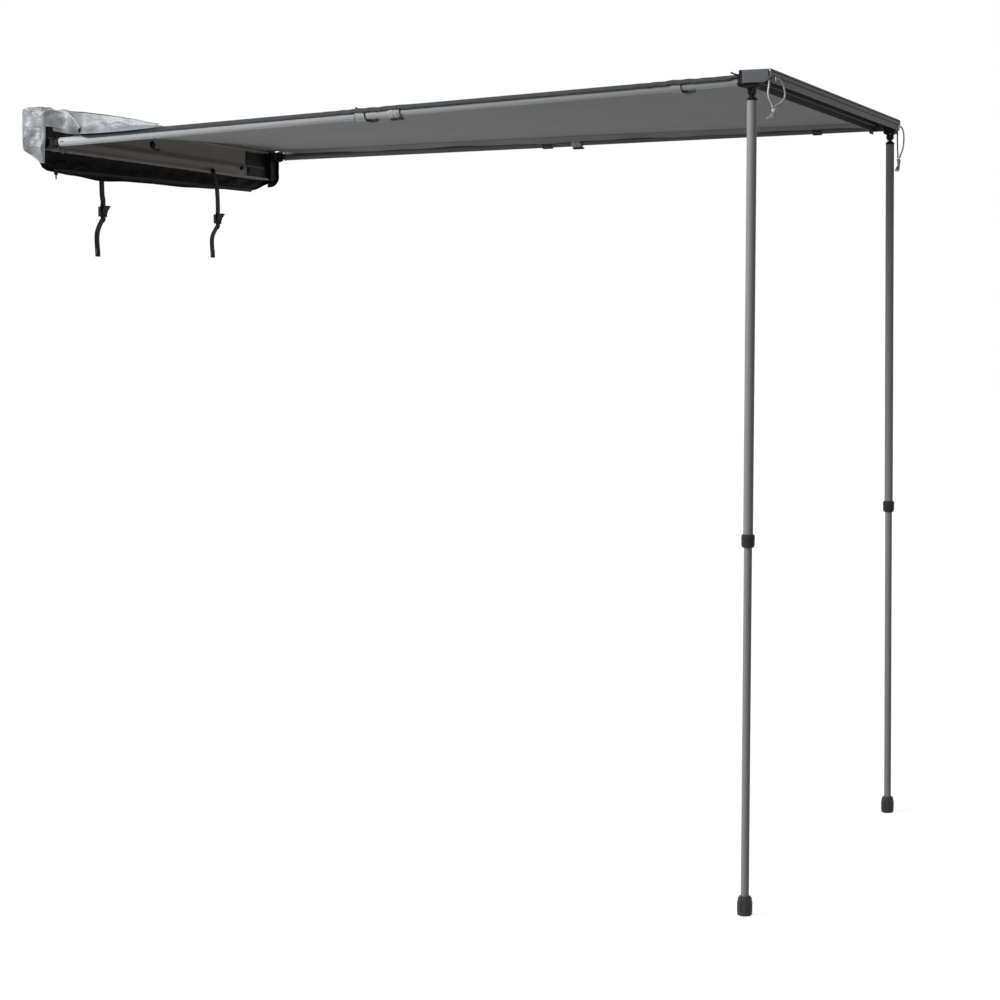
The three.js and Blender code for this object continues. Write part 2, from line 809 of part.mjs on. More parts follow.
// One leg, with its foot. Its own frame has Y down the leg and Z along the pivot
function leg(side) {
  const name = `${side}_leg`;
  const frame = new THREE.Group();
  const drop = groundDrop + legPivot;
  const pivot = new THREE.Vector3(0, 1, 0);
  const down = new THREE.Vector3(sign[side] * splay[side], 0, -drop).normalize();
  const basis = new THREE.Matrix4().makeBasis(down.clone().cross(pivot), down, pivot);
  frame.quaternion.setFromRotationMatrix(basis);
  frame.position.set(sign[side] * armX, laneOf(side), legPivot);
  awning.add(frame);
  const shank = 2 * tongueRadius;
  const root = knuckle(tongueRadius, tongueThickness, legPinRadius, shank, legTubeStart, legFlange);
  add(frame, `${name}_knuckle`, root, "black");
  const grip = tongueThickness + 2 * (turnGap + cheekThickness);
  add(frame, `${name}_pivot_pin`, headedPin(legPinRadius, grip), "steel");
  const sole = Math.hypot(drop, splay[side]);
  const footTop = sole - footHeight;
  const tubeEnd = footTop + footSocket;
  telescope(frame, name, legTubeStart, legLockAt, legInnerHidden, tubeEnd);
  const profile = [
    [0, footTop],
    [footTopRadius, footTop],
    [footRadius - fitGap, footTop + footFlare],
    [footRadius, sole - footSole],
    [footRadius - footSole / 2, sole],
    [0, sole],
  ];
  const socket = rod(innerRadius + collarGap, footTop - cutRun, tubeEnd + fitGap, tubeSides);
  add(frame, `${name}_foot`, cut(turned(profile, footSides), socket), "rubber");
}

// Lower flap of the cover: hangs from the plate's bottom edge in shallow folds
function flapEdge(u) {
  const corner = flapCornerRise * THREE.MathUtils.smoothstep(u, flapCornerShare, 1);
  return plateBottom - coverGap - mix(flapDropNear, flapDropFar, u) + corner;
}

function lowerFlap() {
  const half = plateLength / 2 + bracketWidth;
  const top = plateBottom - coverGap;
  const pointAt = (u, v) => {
    const wave = Math.sin(foldCount * Math.PI * u) + Math.sin(foldCount * 1.7 * Math.PI * u + 1) / 2;
    const y = -plateWall - flapLean * v ** 1.5 + foldDepth * wave * v;
    return new THREE.Vector3(mix(-half, half, u), y, mix(top, flapEdge(u), v));
  };
  add(awning, "cover_lower_flap", sheet(pointAt, flapColumns, flapRows, coverThickness), "lining");
}

// Upper flap of the cover: folded back over the plate's top, crumpled along its crown
function upperFlap() {
  const half = plateLength / 2;
  const base = plateTop + coverGap;
  const pointAt = (u, v) => {
    const turn = Math.PI * v;
    const along = foldCount * Math.PI * u;
    const crease = Math.sin(2 * along + 2 * turn) + Math.sin(3.3 * along - turn);
    const end = crownEndDrop * Math.max(0, 1 - 8 * u);
    const rise = (crownRise - end + (crownFold * crease) / 2) * Math.sin(turn) ** 0.7;
    const y = -plateFront + coverThickness + crownDepth * v + crease * Math.sin(turn);
    return new THREE.Vector3(mix(-half, half, u), y, base + rise);
  };
  add(awning, "cover_upper_flap", sheet(pointAt, crownColumns, crownRows, coverThickness), "silver");
}

// Near end panel of the cover: hangs crumpled outside the near bracket
function nearPanel() {
  const bracketFace = plateLength / 2 + fitGap + bracketWidth;
  const nearest = bracketFace + nearPanelGap + coverThickness / 2;
  const pointAt = (u, v) => {
    const fold = Math.sin(2.5 * Math.PI * u + 3 * v) + Math.sin(4.2 * Math.PI * v + 2 * u);
    const x = -nearest - nearPanelFold * (2 - fold);
    const y = nearPanelSetback - nearPanelDepth * u * (1 - nearPanelTaperShare * v);
    const bottom = -mix(nearPanelBottomBack, nearPanelBottom, u);
    return new THREE.Vector3(x, y, mix(nearPanelTop, bottom, v));
  };
  add(awning, "cover_near_panel", sheet(pointAt, nearPanelCells, nearPanelCells, coverThickness), "silver");
}

// Far end panel of the cover: stands across the plate's end with a round front corner
function farPanel() {
  const bracketFace = plateLength / 2 + fitGap + bracketWidth;
  const nearest = bracketFace + coverGap + coverThickness / 2;
  const pointAt = (u, v) => {
    const z = mix(farPanelTop, -farPanelBottom, v);
    const below = Math.max(0, farPanelCorner - (z + farPanelBottom));
    const inset = farPanelCorner - Math.sqrt(Math.max(0, farPanelCorner ** 2 - below ** 2));
    const fold = farPanelFold * Math.sin(3 * Math.PI * v) * Math.sin(Math.PI * u);
    return new THREE.Vector3(nearest + farPanelFold + fold, -(farPanelDepth - inset) * u, z);
  };
  add(awning, "cover_far_panel", sheet(pointAt, farPanelCells, farPanelCells, coverThickness), "lining");
}

// Zip along the lower flap's free edge, and its slider
function zip() {
  const flapHalf = plateLength / 2 + bracketWidth;
  const nearEnd = zipNearInset - plateLength / 2;
  const farEnd = plateLength / 2 - zipFarInset;
  const y = -plateWall - flapLean;
  const topAt = (x) => flapEdge((x + flapHalf) / (2 * flapHalf)) - fitGap - coverThickness / 4;
  const pointAt = (u, v) => {
    const x = mix(nearEnd, farEnd, u);
    return new THREE.Vector3(x, y, topAt(x) - zipTape * v);
  };
  add(awning, "cover_zip", sheet(pointAt, 1, 1, zipThickness), "webbing");
  const x = nearEnd + sliderLength;
  const sliderTop = topAt(x) - zipTape - turnGap;
  const body = box(
    [x - sliderLength / 2, y - sliderThickness / 2, sliderTop - sliderHeight],
    [x + sliderLength / 2, y + sliderThickness / 2, sliderTop],
  );
  const pull = box(
    [x - pullWidth / 2, y - pullThickness / 2, sliderTop - sliderHeight - pullLength],
    [x + pullWidth / 2, y + pullThickness / 2, sliderTop - sliderHeight],
  );
  add(awning, "zip_slider", joined(body, pull), "black");
}

// A strap's run: a band of even width along a line of [y, z] points
function band(x, line) {
  const curve = new THREE.CatmullRomCurve3(line.map(([y, z]) => new THREE.Vector3(x, y, z)));
  const pointAt = (u, v) => curve.getPoint(v).setX(x + strapWidth * (u - 1 / 2));
  return sheet(pointAt, 1, strapSteps, strapThickness);
}

// Compression strap: down through its buckle, with the loose end hanging below
function strap(side, x, top, buckleDrop, tailDrop) {
  const hang = top[top.length - 1][0];
  const line = [
    ...top,
    [hang, -buckleDrop + buckleHeight],
    [hang, -buckleDrop],
    [hang, -buckleDrop - buckleHeight * 0.7],
    [hang + tailSetback / 5, -buckleDrop - buckleHeight],
    [hang + tailSetback, -(buckleDrop + tailDrop) / 2],
    [hang + tailSetback - strapThickness, -tailDrop],
  ];
  add(awning, `${side}_strap`, band(x, line), "webbing");
  const frame = box(
    [-buckleWidth / 2, -buckleThickness / 2, -buckleHeight / 2],
    [buckleWidth / 2, buckleThickness / 2, buckleHeight / 2],
  );
  const slotWidth = strapWidth / 2 + slideGap;
  const slotThickness = strapThickness / 2 + slideGap;
  const slot = box(
    [-slotWidth, -slotThickness, -buckleHeight],
    [slotWidth, slotThickness, buckleHeight],
  );
  add(awning, `${side}_strap_buckle`, cut(frame, slot).translate(x, hang, -buckleDrop), "black");
}

function straps() {
  const below = plateBottom - coverGap;
  const behind = [
    [-coverThickness, below],
    [-coverThickness, below - flapDropFar / 2],
    [-plateWall / 2 - coverThickness, below - 2 * flapDropNear],
  ];
  strap("near", nearStrapX, behind, nearBuckleDrop, nearTailDrop);
  const front = -lipReach - coverGap - strapThickness / 2;
  const flapFront = -plateWall - flapLean - 3 * foldDepth - sliderThickness;
  const before = [
    [front, plateBottom + lipRise],
    [front - coverThickness, plateBottom],
    [flapFront, plateBottom - flapDropNear],
  ];
  strap("far", farStrapX, before, farBuckleDrop, farTailDrop);
}

// A rope along a hand-set route
function ropeAlong(route) {
  const curve = new THREE.CatmullRomCurve3(route.map((point) => new THREE.Vector3(...point)));
  const corners = [];
  for (let i = 0; i < ropeSides; i++) {
    const turn = (2 * Math.PI * i) / ropeSides;
    corners.push(new THREE.Vector2(ropeRadius * Math.cos(turn), ropeRadius * Math.sin(turn)));
  }
  return new THREE.ExtrudeGeometry(new THREE.Shape(corners), { steps: ropeSteps, extrudePath: curve });
}

// A knot with the rope's ends below it, hanging from its top middle
function knot(at, radii, drops) {
  const last = drops.length - 1;
  const profile = [[0, 0], ...radii.map((radius, i) => [radius, -drops[i]]), [0, -drops[last]]];
  return turned(profile, knotSides).rotateX(Math.PI / 2).translate(...at);
}

function guyRopes() {
  add(awning, "near_rope_inner_strand", ropeAlong(nearInnerStrand), "rope");
  add(awning, "near_rope_outer_strand", ropeAlong(nearOuterStrand), "rope");
  add(awning, "near_rope_knot", knot(nearKnot, nearKnotRadii, nearKnotDrops), "rope");
  add(awning, "far_rope_inner_strand", ropeAlong(farInnerStrand), "rope");
  add(awning, "far_rope_outer_strand", ropeAlong(farOuterStrand), "rope");
  add(awning, "far_rope_knot", knot(farKnot, farKnotRadii, farKnotDrops), "rope");
}

backPlate();
plateBolt();
canopy();
frontRail();
for (const side of ["near", "far"]) {
  arm(side);
  railCap(side);
  legBracket(side);
  leg(side);
}
lowerFlap();
upperFlap();
nearPanel();
farPanel();
zip();
straps();
guyRopes();

export default awning;
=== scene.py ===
import json
import math
import bpy
import bmesh
from mathutils import Matrix, Vector, noise


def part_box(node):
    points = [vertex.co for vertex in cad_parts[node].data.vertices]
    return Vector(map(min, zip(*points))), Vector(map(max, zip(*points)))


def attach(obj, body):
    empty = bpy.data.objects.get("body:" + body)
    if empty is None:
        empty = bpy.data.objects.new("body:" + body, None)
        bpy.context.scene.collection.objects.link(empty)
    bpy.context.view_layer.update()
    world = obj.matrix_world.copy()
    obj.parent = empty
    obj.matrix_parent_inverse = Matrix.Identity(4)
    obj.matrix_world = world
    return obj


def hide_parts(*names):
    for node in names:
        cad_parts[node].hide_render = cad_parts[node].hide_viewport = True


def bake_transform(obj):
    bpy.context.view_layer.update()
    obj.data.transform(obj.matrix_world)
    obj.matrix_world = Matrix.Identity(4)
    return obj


# Side awning, rolled out on its legs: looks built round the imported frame. Metres, +Z up
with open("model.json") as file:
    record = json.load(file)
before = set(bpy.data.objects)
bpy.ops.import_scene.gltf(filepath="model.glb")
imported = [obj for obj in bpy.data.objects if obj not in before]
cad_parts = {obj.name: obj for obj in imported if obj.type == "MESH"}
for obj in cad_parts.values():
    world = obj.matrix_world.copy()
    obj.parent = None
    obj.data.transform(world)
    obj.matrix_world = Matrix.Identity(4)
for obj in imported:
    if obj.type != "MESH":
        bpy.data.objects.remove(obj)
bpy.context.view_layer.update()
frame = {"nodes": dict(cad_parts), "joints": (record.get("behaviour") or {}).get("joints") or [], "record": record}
joints = {j["name"]: j for j in frame["joints"]}
sides = {"near": -1, "far": 1}
plateBox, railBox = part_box("back_plate"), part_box("front_rail")
plateStepTop = plateBox[0].z + 0.042
up = Vector((0, 0, 1))
print("frame loaded")


# camera, at the photo's angle
cameraSetup = {
    "place": (-6.0213, -3.6181, -0.5986), "yaw": 0.3963, "pitch": -0.0648, "roll": -0.0014,
    "lens": 83.21, "sensor": 36, "clip": 200,
}


def addCamera(setup):
    yaw, pitch, roll = setup["yaw"], setup["pitch"], setup["roll"]
    ahead = Vector((math.cos(pitch) * math.cos(yaw), math.cos(pitch) * math.sin(yaw), math.sin(pitch)))
    right = Vector((math.sin(yaw), -math.cos(yaw), 0))
    over = right.cross(ahead)
    turnedRight = math.cos(roll) * right + math.sin(roll) * over
    turnedOver = math.cos(roll) * over - math.sin(roll) * right
    data = bpy.data.cameras.new("camera")
    data.lens, data.sensor_width, data.clip_end = setup["lens"], setup["sensor"], setup["clip"]
    cam = bpy.data.objects.new("camera", data)
    cam.matrix_world = (Matrix.Translation(setup["place"])
                        @ Matrix((turnedRight, turnedOver, -ahead)).transposed().to_4x4())
    bpy.context.scene.collection.objects.link(cam)
    bpy.context.scene.camera = cam


addCamera(cameraSetup)


# materials: each is a spread of two tones, a roughness that varies, and bump from grain or weave
def feed(tree, node, inputs):
    for key, value in inputs.items():
        if isinstance(value, bpy.types.NodeSocket):
            tree.links.new(value, node.inputs[key])
        else:
            node.inputs[key].default_value = value


def addNode(tree, kind, output, inputs=None, **settings):
    made = tree.nodes.new("ShaderNode" + kind)
    for key, value in settings.items():
        setattr(made, key, value)
    feed(tree, made, inputs or {})
    return made.outputs[output]


def paint(name, look):
    mat = bpy.data.materials.new(name)
    mat.use_nodes = True
    tree = mat.node_tree

    def node(kind, output, inputs=None, **settings):
        return addNode(tree, kind, output, inputs, **settings)

    def bumped(source, distance, strength, after):
        inputs = {"Height": source, "Strength": strength, "Distance": distance}
        return node("Bump", "Normal", {**inputs, "Normal": after} if after else inputs)

    where = spread = node("TexCoord", "Object")
    if "stretch" in look:
        spread = node("Mapping", "Vector", {"Vector": where, "Scale": look["stretch"]})
    tone = node("TexNoise", "Fac", {"Vector": spread, "Scale": look.get("toneScale", 6.0), "Detail": 6.0,
                                    "Roughness": 0.6})
    share = node("MapRange", "Result", {"Value": tone, "From Min": 0.3, "From Max": 0.7})
    colour = node("Mix", "Result", {"A": (*look["colour"], 1), "B": (*look["other"], 1), "Factor": share},
                  data_type="RGBA")
    if "wear" in look:
        rounded, flat = node("Bevel", "Normal", {"Radius": 0.0012}), node("NewGeometry", "Normal")
        level = node("VectorMath", "Value", {0: rounded, 1: flat}, operation="DOT_PRODUCT")
        edge = node("MapRange", "Result", {"Value": level, "From Min": 0.995, "From Max": 0.8, "To Max": 0.5})
        colour = node("Mix", "Result", {"A": colour, "B": (*look["wear"], 1), "Factor": edge},
                      data_type="RGBA")
    fine = node("TexNoise", "Fac", {"Vector": spread if look.get("grainFollows") else where,
                                    "Scale": look.get("grainScale", 900.0), "Detail": 3.0})
    low, high = look["rough"]
    inputs = {
        "Base Color": colour,
        "Roughness": node("MapRange", "Result", {"Value": fine, "To Min": low, "To Max": high}),
        "Metallic": look.get("metal", 0), "Sheen Weight": look.get("sheen", 0), "Sheen Roughness": 0.4,
        "Coat Weight": look.get("coat", 0), "Coat Roughness": 0.3,
        "Specular IOR Level": look.get("specular", 0.5),
    }
    normal = None
    if "grain" in look:
        normal = bumped(fine, look["grain"], 0.5, normal)
    if "crinkle" in look:
        size, depth = look["crinkle"]
        bent = node("TexNoise", "Color", {"Vector": where, "Scale": 0.6 / size, "Detail": 3.0})
        shift = node("VectorMath", "Vector", {0: bent, 1: (size, size, size), 2: where},
                     operation="MULTIPLY_ADD")
        crease = node("TexVoronoi", "Distance", {"Vector": shift, "Scale": 1 / size},
                      feature="DISTANCE_TO_EDGE")
        normal = bumped(crease, depth, 0.6, normal)
    if "threads" in look:
        spacing = {"Vector": where, "Scale": 0.314 / look["pitch"], "Distortion": 0.4, "Detail": 1.0}
        warp, weft = (node("TexWave", "Fac", spacing, bands_direction=axis) for axis in look["threads"])
        weave = node("Math", "Value", {0: warp, 1: weft}, operation="MULTIPLY")
        normal = bumped(weave, look["pitch"] / 4, look.get("weaveStrength", 0.3), normal)
    if normal:
        inputs["Normal"] = normal
    feed(tree, tree.nodes["Principled BSDF"], inputs)
    return mat


# drawn or extruded metal has lines along its length
extruded = {"stretch": (3.0, 500.0, 500.0), "toneScale": 1.0, "grain": 0.00002, "grainFollows": True,
            "grainScale": 1.6}
drawn = {"stretch": (500.0, 3.0, 500.0), "toneScale": 1.0, "grain": 0.00001, "grainFollows": True,
         "grainScale": 1.4, "metal": 0.04}
moulded = {"rough": (0.5, 0.65), "grain": 0.00012, "grainScale": 1600.0}
glossed = {"grain": 0.0001, "grainScale": 1500.0}
turned = {"toneScale": 60.0, "grain": 0.00004, "grainScale": 700.0}
shadeCloth = {"rough": (0.62, 0.78), "toneScale": 3.0, "threads": "XY", "pitch": 0.0009, "sheen": 0.15,
              "specular": 0.3}
foilCloth = {"metal": 0.3, "pitch": 0.0011, "coat": 0.1}
paints = {name: paint(name, look) for name, look in {
    "plateMetal": {**extruded, "colour": (0.285, 0.262, 0.242), "other": (0.325, 0.299, 0.277),
                   "rough": (0.5, 0.62), "metal": 0.15, "specular": 0.35, "wear": (0.3, 0.28, 0.26)},
    "railMetal": {**extruded, "colour": (0.066, 0.061, 0.056), "other": (0.08, 0.0745, 0.0695),
                  "rough": (0.45, 0.58), "specular": 0.15, "wear": (0.16, 0.15, 0.14)},
    "armTube": {**drawn, "colour": (0.33, 0.339, 0.35), "other": (0.365, 0.374, 0.385), "rough": (0.36, 0.44),
                "specular": 0.3},
    "shadedTube": {**drawn, "colour": (0.11, 0.112, 0.115), "other": (0.13, 0.132, 0.135),
                   "rough": (0.45, 0.55), "specular": 0.12},
    "legTube": {**drawn, "stretch": (500.0, 500.0, 3.0), "colour": (0.3, 0.309, 0.32),
                "other": (0.335, 0.344, 0.355), "rough": (0.42, 0.52), "specular": 0.12},
    "blackPlastic": {**moulded, "colour": (0.011, 0.011, 0.012), "other": (0.018, 0.018, 0.019),
                     "specular": 0.1, "wear": (0.028, 0.028, 0.029)},
    "darkPlastic": {**moulded, "colour": (0.032, 0.032, 0.033), "other": (0.042, 0.042, 0.043),
                    "specular": 0.15, "wear": (0.08, 0.08, 0.082)},
    "slatePlastic": {**glossed, "colour": (0.06, 0.069, 0.074), "other": (0.075, 0.085, 0.091),
                     "rough": (0.4, 0.52), "wear": (0.2, 0.215, 0.225), "coat": 0.05},
    "greyPlastic": {**glossed, "colour": (0.26, 0.28, 0.28), "other": (0.31, 0.33, 0.33),
                    "rough": (0.4, 0.55), "wear": (0.45, 0.47, 0.47)},
    "rubber": {"colour": (0.014, 0.014, 0.014), "other": (0.022, 0.022, 0.022), "rough": (0.6, 0.8),
               "grain": 0.0002, "grainScale": 1100.0, "wear": (0.06, 0.06, 0.06)},
    "steel": {**turned, "colour": (0.5, 0.5, 0.5), "other": (0.6, 0.6, 0.6), "rough": (0.22, 0.36),
              "metal": 1.0},
    "darkSteel": {**turned, "colour": (0.03, 0.03, 0.031), "other": (0.045, 0.045, 0.046),
                  "rough": (0.4, 0.55), "metal": 0.3, "specular": 0.3},
    "canopyUnder": {**shadeCloth, "colour": (0.15, 0.153, 0.15), "other": (0.172, 0.176, 0.172)},
    # painted light: a lighter copy of the canopy cloth for the far hem's skirt, which hangs in shade
    "skirtPaintedLight": {**shadeCloth, "colour": (0.34, 0.344, 0.34), "other": (0.38, 0.384, 0.38)},
    "canopyTop": {**shadeCloth, "colour": (0.12, 0.135, 0.135), "other": (0.14, 0.155, 0.155),
                  "rough": (0.6, 0.75)},
    "hemCloth": {"colour": (0.021, 0.0235, 0.025), "other": (0.031, 0.0345, 0.036), "rough": (0.6, 0.78),
                 "toneScale": 20.0, "threads": "XY", "pitch": 0.0012, "sheen": 0.06, "specular": 0.25},
    "thread": {"colour": (0.09, 0.095, 0.095), "other": (0.12, 0.125, 0.125), "rough": (0.6, 0.8),
               "toneScale": 90.0},
    # one silver cover cloth in two copies: this darker one is painted shade on the end panel and the hanging fold,
    # the next, lighter one is painted light on the flap
    "silverCloth": {**foilCloth, "colour": (0.06, 0.065, 0.071), "other": (0.27, 0.285, 0.302),
                    "rough": (0.36, 0.48), "toneScale": 13.0, "threads": "YZ", "crinkle": (0.036, 0.0006)},
    "flapCloth": {**foilCloth, "colour": (0.115, 0.122, 0.133), "other": (0.26, 0.272, 0.29),
                  "rough": (0.34, 0.48), "toneScale": 18.0, "threads": "XY", "crinkle": (0.022, 0.0004)},
    # painted highlight: a light cord, much paler than the cover cloth, laid along the hanging fold's crest
    "crestHighlightCloth": {"colour": (0.4, 0.41, 0.42), "other": (0.5, 0.51, 0.52), "rough": (0.4, 0.55),
                    "toneScale": 60.0, "coat": 0.2},
    "blackCloth": {"colour": (0.004, 0.004, 0.0045), "other": (0.007, 0.007, 0.0075), "rough": (0.55, 0.7),
                   "toneScale": 12.0, "threads": "XZ", "pitch": 0.0012, "sheen": 0.01, "specular": 0.08},
    "webbing": {"colour": (0.006, 0.006, 0.0065), "other": (0.011, 0.011, 0.012), "rough": (0.6, 0.8),
                "toneScale": 70.0, "threads": "ZX", "pitch": 0.0022, "weaveStrength": 0.7, "sheen": 0.04,
                "specular": 0.25},
    "tieWebbing": {"colour": (0.3, 0.31, 0.31), "other": (0.36, 0.37, 0.37), "rough": (0.55, 0.75),
                   "toneScale": 70.0, "threads": "YX", "pitch": 0.002, "weaveStrength": 0.6, "sheen": 0.2},
    "cord": {"colour": (0.66, 0.64, 0.58), "other": (0.78, 0.77, 0.72), "rough": (0.7, 0.9),
             "toneScale": 150.0, "grain": 0.0004, "grainScale": 2600.0, "sheen": 0.3},
}.items()}
print("materials made")


# shapes: each is (points, faces), so that a piece can be put together from several
def merged(*shapes):
    points, faces = [], []
    for shapePoints, shapeFaces in shapes:
        start = len(points)
        points += shapePoints
        faces += [[start + i for i in face] for face in shapeFaces]
    return points, faces


def moved(shape, matrix):
    return [matrix @ Vector(p) for p in shape[0]], shape[1]


def frameOf(origin, ahead, over=(0, 0, 1)):
    z = Vector(ahead).normalized()
    x = Vector(over).cross(z).normalized()
    return Matrix.Translation(origin) @ Matrix((x, z.cross(x), z)).transposed().to_4x4()


acrossFrame = frameOf((0, 0, 0), (1, 0, 0))  # local X is +Y, local Y is +Z, local Z is +X
ontoPin = Matrix.Rotation(-math.pi / 2, 4, "X")  # the lathe's axis onto the pin's


def spinZ(turn):
    return Matrix.Rotation(turn, 4, "Z")


def lathe(profile, around=48, swell=None, closed=False):
    points, faces, rings = [], [], []
    for r, h in profile:
        if r < 1e-9:
            rings.append([len(points)])
            points.append(Vector((0, 0, h)))
            continue
        rings.append(list(range(len(points), len(points) + around)))
        for i in range(around):
            turn = 2 * math.pi * i / around
            reach = r * (swell(turn, h) if swell else 1)
            points.append(Vector((reach * math.cos(turn), reach * math.sin(turn), h)))
    pairs = list(zip(rings, rings[1:]))
    if closed:
        pairs.append((rings[-1], rings[0]))
    for a, b in pairs:
        for i in range(around):
            k = (i + 1) % around
            if len(a) == 1 and len(b) > 1:
                faces.append([a[0], b[i], b[k]])
            elif len(b) == 1 and len(a) > 1:
                faces.append([a[i], a[k], b[0]])
            elif len(a) > 1 and len(b) > 1:
                faces.append([a[i], a[k], b[k], b[i]])
    return points, faces


def washer(bore, radius, low, high, around=40):
    return lathe([(bore, low), (radius, low), (radius, high), (bore, high)], around, closed=True)


def pipe(bore, radius, start, end, edge=0.0004):
    return lathe([(bore, start), (radius - edge, start), (radius, start + edge), (radius, end - edge),
                  (radius - edge, end), (bore, end)], closed=True)


def block(low, high):
    corners = [Vector((x, y, z)) for x in (low[0], high[0]) for y in (low[1], high[1])
               for z in (low[2], high[2])]
    return corners, [[0, 1, 3, 2], [4, 6, 7, 5], [0, 4, 5, 1], [2, 3, 7, 6], [0, 2, 6, 4], [1, 5, 7, 3]]


def prism(outline, start, end):
    count = len(outline)
    points = [Vector((x, y, z)) for z in (start, end) for x, y in outline]
    faces = [list(range(count))[::-1], list(range(count, 2 * count))]
    faces += [[i, (i + 1) % count, count + (i + 1) % count, count + i] for i in range(count)]
    return points, faces


def sheetShape(pointAt, columns, rows, thickness):
    def normalAt(u, v):
        step = 0.5 / max(columns, rows)
        across = pointAt(min(u + step, 1), v) - pointAt(max(u - step, 0), v)
        down = pointAt(u, min(v + step, 1)) - pointAt(u, max(v - step, 0))
        return across.cross(down).normalized()

    grid = [(i / columns, j / rows) for j in range(rows + 1) for i in range(columns + 1)]
    middle = [(pointAt(u, v), normalAt(u, v)) for u, v in grid]
    points = [p + normal * face * thickness for face in (0.5, -0.5) for p, normal in middle]
    faces = []
    wide = columns + 1
    layer = wide * (rows + 1)
    for j in range(rows):
        for i in range(columns):
            a = j * wide + i
            faces.append([a, a + 1, a + 1 + wide, a + wide])
            faces.append([layer + a + wide, layer + a + 1 + wide, layer + a + 1, layer + a])
    for i in range(columns):
        last = rows * wide + i
        faces.append([layer + i, layer + i + 1, i + 1, i])
        faces.append([last, last + 1, layer + last + 1, layer + last])
    for j in range(rows):
        left = j * wide
        right = left + columns
        faces.append([left, left + wide, layer + left + wide, layer + left])
        faces.append([layer + right, layer + right + wide, right + wide, right])
    return points, faces


def smoothPath(points, steps):
    line = [Vector(p) for p in points]
    ends = [2 * line[0] - line[1]] + line + [2 * line[-1] - line[-2]]
    made = []
    for i in range(len(line) - 1):
        a, b, c, d = ends[i:i + 4]
        for s in range(steps):
            t = s / steps
            made.append(0.5 * (2 * b + (c - a) * t + (2 * a - 5 * b + 4 * c - d) * t * t
                               + (3 * b - a - 3 * c + d) * t ** 3))
    made.append(line[-1])
    return made


def sweep(path, section, side=None, twist=0.0):
    count, points, faces = len(section), [], []
    along = 0.0
    held = Vector(side) if side else (path[1] - path[0]).orthogonal()
    for i, p in enumerate(path):
        ahead = (path[min(i + 1, len(path) - 1)] - path[max(i - 1, 0)]).normalized()
        if i:
            along += (p - path[i - 1]).length
        x = (held - ahead * held.dot(ahead)).normalized()
        if not side:
            held = x
        y = ahead.cross(x)
        turn = twist * along
        for a, b in section:
            ta, tb = a * math.cos(turn) - b * math.sin(turn), a * math.sin(turn) + b * math.cos(turn)
            points.append(p + x * ta + y * tb)
    for i in range(len(path) - 1):
        for k in range(count):
            n = (k + 1) % count
            faces.append([i * count + k, i * count + n, (i + 1) * count + n, (i + 1) * count + k])
    faces.append(list(range(count))[::-1])
    faces.append(list(range((len(path) - 1) * count, len(path) * count)))
    return points, faces


def flatSection(wide, thick):
    return [(-wide, -thick), (wide, -thick), (wide, thick), (-wide, thick)]


def laidSection(radius, lobe=0.0, points=18):
    made = []
    for i in range(points):
        turn = 2 * math.pi * i / points
        reach = radius * (1 - lobe + lobe * abs(math.cos(1.5 * turn)))
        made.append((reach * math.cos(turn), reach * math.sin(turn)))
    return made


def piece(name, shape, look, body, stands=(), bevel=0.0, sharp=35):
    mesh = bpy.data.meshes.new(name)
    mesh.from_pydata([tuple(p) for p in shape[0]], [], shape[1])
    made = bmesh.new()
    made.from_mesh(mesh)
    bmesh.ops.recalc_face_normals(made, faces=made.faces)
    made.to_mesh(mesh)
    made.free()
    mesh.materials.append(paints[look])
    mesh.shade_smooth()
    mesh.set_sharp_from_angle(angle=math.radians(sharp))
    obj = bpy.data.objects.new(name, mesh)
    bpy.context.scene.collection.objects.link(obj)
    if bevel:
        edges = obj.modifiers.new("edges", "BEVEL")
        edges.width, edges.segments = bevel, 2
        edges.limit_method, edges.angle_limit = "ANGLE", math.radians(40)
    if body:
        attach(obj, body)
    if stands:
        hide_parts(*stands)
    return obj


def secondLook(obj, look, test):
    obj.data.materials.append(paints[look])
    for face in obj.data.polygons:
        if test(face):
            face.material_index = 1


def mixed(a, b, share):
    return a + (b - a) * share


def smoothStep(x, low, high):
    t = min(max((x - low) / (high - low), 0), 1)
    return t * t * (3 - 2 * t)


